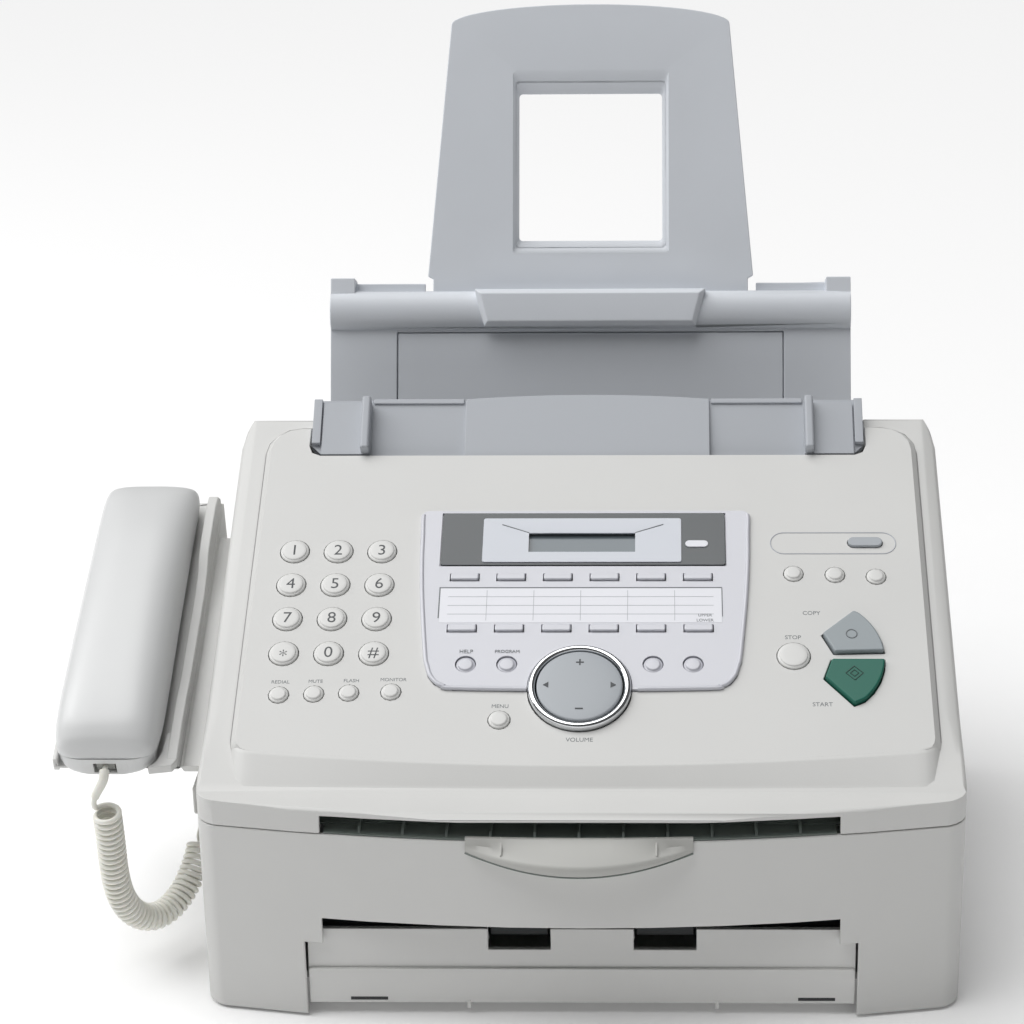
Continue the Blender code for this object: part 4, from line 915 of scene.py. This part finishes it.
def cap_profile(radius, top, flange):
    """A round key's section: a flange under the panel, a skirt, a step and a slightly domed top."""
    low, high = KEY_FOOT
    wide = radius + flange
    return [(0, low), (wide, low), (wide, high), (radius, high), (radius, top - 1.5),
            (radius - 0.2, top - 1.05), (radius - 0.6, top - 0.85), (radius - 1.0, top - 0.75),
            (radius - 1.25, top - 0.3), (radius - 1.6, top - 0.05), (radius * 0.6, top + 0.05),
            (0, top + 0.1)]


DIAL_X = (-146.5, -124.4, -102.3)
DIAL_S = (140.0, 118.3, 96.6, 75.0)
DIAL_SIGNS = "123456789*0#"
SIGN_NAMES = {"*": "star", "#": "hash"}
for i, sign in enumerate(DIAL_SIGNS):
    label = SIGN_NAMES.get(sign, sign)
    spot = (DIAL_X[i % 3], DIAL_S[i // 3])
    cap = turned(cap_profile(7.2, 1.6, 1.6), panel, *spot, 48)
    fitted(f"dial_cap_{label}", cap, key_abs, f"dial_key_{label}", "key_white", f"dial_key_{label}")
    drop = 2.2 if sign == "*" else 0.0
    numeral = letters(sign, panel, spot[0], spot[1] - drop, 1.66, 6.4)
    fitted(f"dial_numeral_{label}", numeral, ink_dark, f"dial_key_{label}", "lens_dark")

# Small round keys: strips of white or silver ABS caps on one runner each, and the larger stop key.
# The runners lie under the panel and carry the caps through its holes.
CALL_SPOTS = ((-146.7, 49.8), (-129.7, 50.4), (-112.8, 51.0), (-92.4, 51.6))
FEATURE_SPOTS = ((104.5, 125.3), (125.2, 124.6), (145.6, 123.4))
fascia_runner = [(-62, 63), (-31, 63), (-31, 82), (29, 82), (29, 63), (59, 63), (59, 84.6), (-62, 84.6)]
STRIPS = (("call_keys", CALL_SPOTS, oblong(-153, -86, 46, 55), key_abs, "key_white"),
          ("feature_keys", FEATURE_SPOTS, oblong(98, 152, 119.5, 129.5), key_abs, "key_white"),
          ("fascia_keys", FASCIA_SPOTS, fascia_runner, silver_paint, "silver"))
for node, spots, runner, finish, slot_name in STRIPS:
    strip = [block(runner, *KEY_FOOT, panel, 0.2)]
    strip += [turned(cap_profile(4.8, 1.5, 0.0), panel, *spot, 36) for spot in spots]
    fitted(f"{node}_caps", together(strip), finish, node, slot_name, node)
for node, spot, radius in (("menu_key", (-39.4, 34.9), 5.2), ("stop_key", (102.9, 73.5), 8.0)):
    cap = turned(cap_profile(radius, 1.6, 1.6), panel, *spot, 44)
    fitted(f"{node}_cap", cap, key_abs, node, "key_white", node)
moulding("station_keys", "station_key_bars", silver_paint, "silver", 0.25)

# Answer key and start keys: a grey pill in an engraved outline, and a fan of a grey and a green key.
# The start keys carry a plain ring and a plain diamond, pad-printed in a darker tone.
pill = [block(soft_oblong(132.6, 149.8, 142.6, 148.4, 2.8), -8.4, 1.5, panel, 0.5, 3),
        block(oblong(131.4, 151, 141.4, 149.6), *KEY_FOOT, panel, 0.2)]
fitted("answer_key_cap", together(pill), key_grey, "auto_answer_key", "key_grey", "auto_answer_key")
outline_run = [panel(u, v, 0.02) for u, v in soft_oblong(93.6, 156.6, 138.4, 152.2, 6.85, 10)]
outline_run.append(outline_run[0])
fitted("answer_key_outline", tube(outline_run, 0.00028, 8), ink_pale, "cover", "casing")
key_green = moulded_plastic("green_moulded_abs_key", "0C6453", 0.5, 0.7, 0.06)
ink_green = ink("dark_green_printing_ink", "15473C")
FAN = (110.0, 72.5)
SIGN_N = 2.42
SIGN_LINE = 0.0003
copy_outline = [(117.5, 86.5), (133.2, 100.6)] + circle(*FAN, 37.0, 46, 5, 12) + [(122.9, 75.0)]
fax_outline = [(121.4, 70.6)] + circle(*FAN, 37.0, -3, -45, 12) + [(131.2, 43.8), (117.6, 59.5)]
copy_grey = moulded_plastic("mid_grey_moulded_abs_key", "979FA3", 0.4, 0.7, 0.06)
for node, outline, finish, slot_name in (("copy_start_key", copy_outline, copy_grey, "key_grey"),
                                         ("fax_start_key", fax_outline, key_green, "key_green")):
    centre_v = sum(v for _, v in outline) / len(outline)
    foot = block(circle(128.5, centre_v, 9.5), *KEY_FOOT, panel, 0.2)
    cap = [block(outline, -8.4, 2.4, panel, 0.9, 4), foot]
    fitted(f"{node}_cap", together(cap), finish, node, slot_name, node)
ring_sign = [panel(u, v, SIGN_N) for u, v in circle(131.5, 85.5, 2.6, 0, 360, 30)]
fitted("copy_sign", tube(ring_sign + ring_sign[:1], SIGN_LINE, 6), ink_grey_and_painted_shadow, "copy_start_key", "lens_dark")
diamond = []
for size in (4.2, 2.0):
    corners = [(131.8 + size, 61.5), (131.8, 61.5 + size), (131.8 - size, 61.5), (131.8, 61.5 - size)]
    for a, b in zip(corners, corners[1:] + corners[:1]):
        middle = ((a[0] + b[0]) / 2, (a[1] + b[1]) / 2)
        diamond.append(tube([panel(*spot, SIGN_N) for spot in (a, middle, b)], SIGN_LINE, 6))
fitted("start_sign", together(diamond), ink_green, "fax_start_key", "key_green")

# Printed legends: short plain words for the keys' functions, pad-printed in grey on the panel and the fascia.
# Each is a thin film of ink that lies on the surface and moves with the cover.
LEGENDS = (("REDIAL", -146.5, 57.8, 1.9), ("MUTE", -129.4, 58.2, 1.9), ("FLASH", -112.0, 58.6, 1.9),
           ("MONITOR", -91.6, 59.2, 1.9), ("MENU", -39.2, 43.2, 2.1), ("VOLUME", -0.7, 23.4, 2.3),
           ("STOP", 102.9, 85.2, 2.3), ("COPY", 112.5, 100.4, 2.3), ("START", 115.8, 44.4, 2.3))
FASCIA_LEGENDS = (("HELP", -56.9, 75.4, 2.1), ("PROGRAM", -36.8, 75.4, 1.8), ("UPPER", 60.0, 98.0, 1.7),
                  ("LOWER", 60.0, 94.8, 1.7))
for name, legends, n in (("panel_legends", LEGENDS, 0.02), ("fascia_legends", FASCIA_LEGENDS, 1.46)):
    words = [letters(text, panel, u, v, n, height) for text, u, v, height in legends]
    fitted(name, together(words), ink_grey_and_painted_shadow, "cover", "lens_dark")

# Document shelf: the grey ABS tray behind the panel that leans back, with a crowned middle and two recesses.
# It is clipped into the cover, and two guides slide on it to the width of the sheet.
# The shelf is the trays' grey ABS drawn darker, as painted shade for the light that its slope gets.
shelf_abs_painted_shade = moulded_plastic("grey_abs_shelf_with_painted_shade", "B1B5BB", 0.5)
shelf_frame = slope(0.0, 210.5, 203.6, 40.0)
shelf_outline = [(-136.5, 0.2), (136.5, 0.2), (143.9, 7.5), (143.9, 36.0), (-143.9, 36.0), (-143.9, 7.5)]
crown_x = [64.0 - 8.0 * i for i in range(17)]
crown = [(-64.0, 1.0), (64.0, 1.0)] + [(x, 38.6 - x * x / 1600.0) for x in crown_x]
EAR = [(186, 161), (198, 161), (222, 196), (222, 210.5), (214.6, 203.6), (211, 194), (186, 176)]
RECESS = [(0.6, -3.2), (0.6, -2.5), (33.8, -0.3), (35.8, -0.3), (35.8, -3.2)]
SHELF_WALLS = ((139.5, 143.9, 8.5, 35.2, -3.0, 3.0), (65.0, 112.6, 33.6, 36.4, -1.0, 0.9))
shelf_parts = [block(shelf_outline, -3.2, -2.6, shelf_frame, 0.2),
               block(crown, -3.0, 1.3, shelf_frame, 0.45, 3)]
for side in (-1, 1):
    for u0, u1, v0, v1, low, high in SHELF_WALLS:
        wall = oblong(*sorted((side * u0, side * u1)), v0, v1)
        shelf_parts.append(block(wall, low, high, shelf_frame, 0.4))
    shelf_parts.append(lofted([[shelf_frame(side * u, v, n) for v, n in RECESS] for u in (63.6, 113.2)]))
    wing = [(113.0, 0.4), (136.3, 0.4), (143.7, 7.7), (143.7, 35.9), (113.0, 35.9)]
    shelf_parts.append(block([(side * u, v) for u, v in wing], -3.0, 0.0, shelf_frame, 0.3))
    ear_bore = block(circle(192.0, 167.0, 3.2, steps=16), side * 127.75 - 4, side * 127.75 + 4, side_on, 0)
    shelf_parts.append(bored(block(EAR, *sorted((side * 126.0, side * 129.5)), side_on, 0), ear_bore))
fitted("document_shelf", together(shelf_parts), shelf_abs_painted_shade, "cover", "tray_grey", "document_tray")
for name, side in (("left", -1), ("right", 1)):
    foot = block(oblong(*sorted((side * 113.4, side * 138.8)), 2.0, 33.0), 0.35, 2.2, shelf_frame, 0.4)
    fin = block(oblong(*sorted((side * 113.4, side * 118.0)), 2.4, 34.0), 0.8, 9.0, shelf_frame, 1.3, 4)
    node = f"document_guide_{name}"
    fitted(f"guide_{name}", together([foot, fin]), shelf_abs_painted_shade, node, "tray_grey", node)

# Paper chute: the grey ABS tray that leans back out of the rear, with a rolled top, two posts and a pocket.
# It is screwed between the towers; a sprung leaf in its face presses the sheets against the pick-up roller.
# The chute's and support's grey is drawn lighter than the shelf's, as painted light that thins the shade
# under the rolled top.
tray_abs_painted_light = moulded_plastic("grey_abs_trays_with_painted_light", "D8DCE2", 0.5)
moulding("paper_tray", "paper_chute", tray_abs_painted_light, "tray_grey", 0.6)
moulding("pressure_plate", "pressure_leaf", tray_abs_painted_light, "tray_grey", 0.3)

# Paper support: a tall ABS plate with a window, pushed into a slot in the chute to hold up long sheets.
# Flared facets run from the plate's face down to the window, inside a stiffening rim on the back.
chute = slope(0.0, 290.0, 212.0, 66.0)
top_turns = [math.radians(a) for a in range(0, 181, 6)]
support_outline = [(-86.5, 9.0), (86.5, 9.0), (86.5, 64.5), (89.4, 66.0)]
support_outline += [(76.8 * math.cos(a), 206.0 + 11.0 * math.sin(a)) for a in top_turns]
support_outline += [(-89.4, 66.0), (-86.5, 64.5)]
MOUTH_FACE = soft_oblong(-42.8, 43.2, 77.8, 180.6, 2.0)
MOUTH_BACK = soft_oblong(-39.4, 39.6, 86.2, 168.0, 2.0)


def flare():
    """The window's space: wide at the plate's face, narrow at its back."""
    mouths = ((MOUTH_BACK, -14.0), (MOUTH_BACK, -10.4), (MOUTH_FACE, -4.7), (MOUTH_FACE, -3.0))
    return lofted([[chute(u, v, n) for u, v in ring] for ring, n in mouths])


plate = bored(block(support_outline, -7.8, -4.8, chute, 0.6, 3), flare())
rim = bored(block(soft_oblong(-45.4, 45.8, 75.2, 183.2, 3.0), -11.4, -7.4, chute, 0.5), flare())
fitted("support_plate", together([plate, rim]), tray_abs_painted_light, "paper_support", "tray_grey", "paper_support")

# Handset: a glossy-satin ABS shell over a flatter inner half with the earpiece and mouthpiece humps.
# The halves are clipped together along a thin seam; the cord's jack is in the inner half's lower end.
handset_abs = moulded_plastic("satin_abs_handset", "DADBDB", 0.34, 0.9, 0.04)
HANDSET_HALF_MM = 25.3
HANDSET_SQUARENESS = 0.62
SHELL_STEPS = 40
SEAM_MM = 9.2
SHELL_STATIONS = (
    (4.4, 0.46, 12.2), (5.0, 0.60, 14.0), (6.8, 0.78, 17.6), (11.0, 0.92, 22.0), (22.0, 0.99, 26.5),
    (45.0, 1.0, 29.0), (95.0, 0.98, 30.0), (140.0, 0.97, 28.5), (168.0, 0.97, 25.0), (182.0, 0.95, 20.5),
    (188.0, 0.88, 16.0), (190.5, 0.74, 12.0), (191.2, 0.5, 10.2),
)
INNER_STATIONS = (
    (3.6, 0.42), (4.4, 0.56), (6.6, 0.75), (11.0, 0.88), (20.0, 0.92), (95.0, 0.92), (172.0, 0.91),
    (182.0, 0.88), (187.0, 0.76), (188.8, 0.5),
)


def seam(v):
    """The height of the line between the halves, which rises round the lower end."""
    return SEAM_MM + 4.4 * max(0.0, 1 - v / 14.0) ** 2


rings = []
for v, width, crest in smooth_path([Vector(station) for station in SHELL_STATIONS], 6):
    ring = []
    for i in range(SHELL_STEPS + 1):
        c = math.cos(math.pi * i / SHELL_STEPS)
        s = math.sin(math.pi * i / SHELL_STEPS)
        u = HANDSET_HALF_MM * width * math.copysign(abs(c) ** HANDSET_SQUARENESS, c)
        ring.append(rest(u, v, seam(v) + (crest - seam(v)) * abs(s) ** HANDSET_SQUARENESS))
    rings.append(ring)
fitted("handset_back", lofted(rings), handset_abs, "handset", "handset", "handset_shell", smooth=50)
rings = []
for v, width in smooth_path([Vector(station) for station in INNER_STATIONS], 5):
    half = HANDSET_HALF_MM * width
    side = [(half - 3.0, 1.0), (half - 1.4, 1.3), (half - 0.4, 2.2), (half, 3.6), (half, seam(v) - 0.8),
            (half - 0.5, seam(v) - 0.35)]
    rings.append([rest(u, v, n) for u, n in side] + [rest(-u, v, n) for u, n in side[::-1]])
inner = bored(lofted(rings), block(oblong(-5.5, 5.5, 0.0, 16.0), 2.2, 8.6, rest, 0))
humps = [block(soft_oblong(-20.5, 20.5, low, high, 9.0, 8), -12.0, 4.0, rest, 3.0, 5)
         for low, high in ((138.0, 182.0), (26.0, 62.0))]
fitted("handset_front", together([inner] + humps), handset_abs, "handset", "handset", "handset_inner")
# The sound holes are flat black discs on the inner half's face: painted shade standing for the openings.
hole_shades = []
for centre_v in (160.0, 44.0):
    for u in (-4.5, 0.0, 4.5):
        for v in (-4.5, 0.0, 4.5):
            hole_shades.append(block(circle(u, centre_v + v, 1.0, steps=12), -12.1, -11.6, rest, 0))
fitted("handset_sound_hole_shades", together(hole_shades), black_abs, "handset", "black")

# Cradle: the wedge of casing ABS on the left wall, with a well for each end of the handset.
# It is screwed on from inside the wall; a small cup closes its lower corner, and a sprung lever rises in it.
moulding("handset_cradle", "cradle_moulding", casing_abs, "casing", 0.8)
CUP = [(26.6, 26.0), (33.2, 26.0), (33.2, 8.6), (31.2, 5.4), (20.0, 3.9), (20.3, 4.9), (23.5, 8.0),
       (25.8, 14.0)]
fitted("cradle_cup_corner", block(CUP, 0.3, 5.4, rest, 0.6, 3), casing_abs, "machine", "casing")
moulding("hook_switch", "hook_lever", casing_abs, "casing", 0.3)
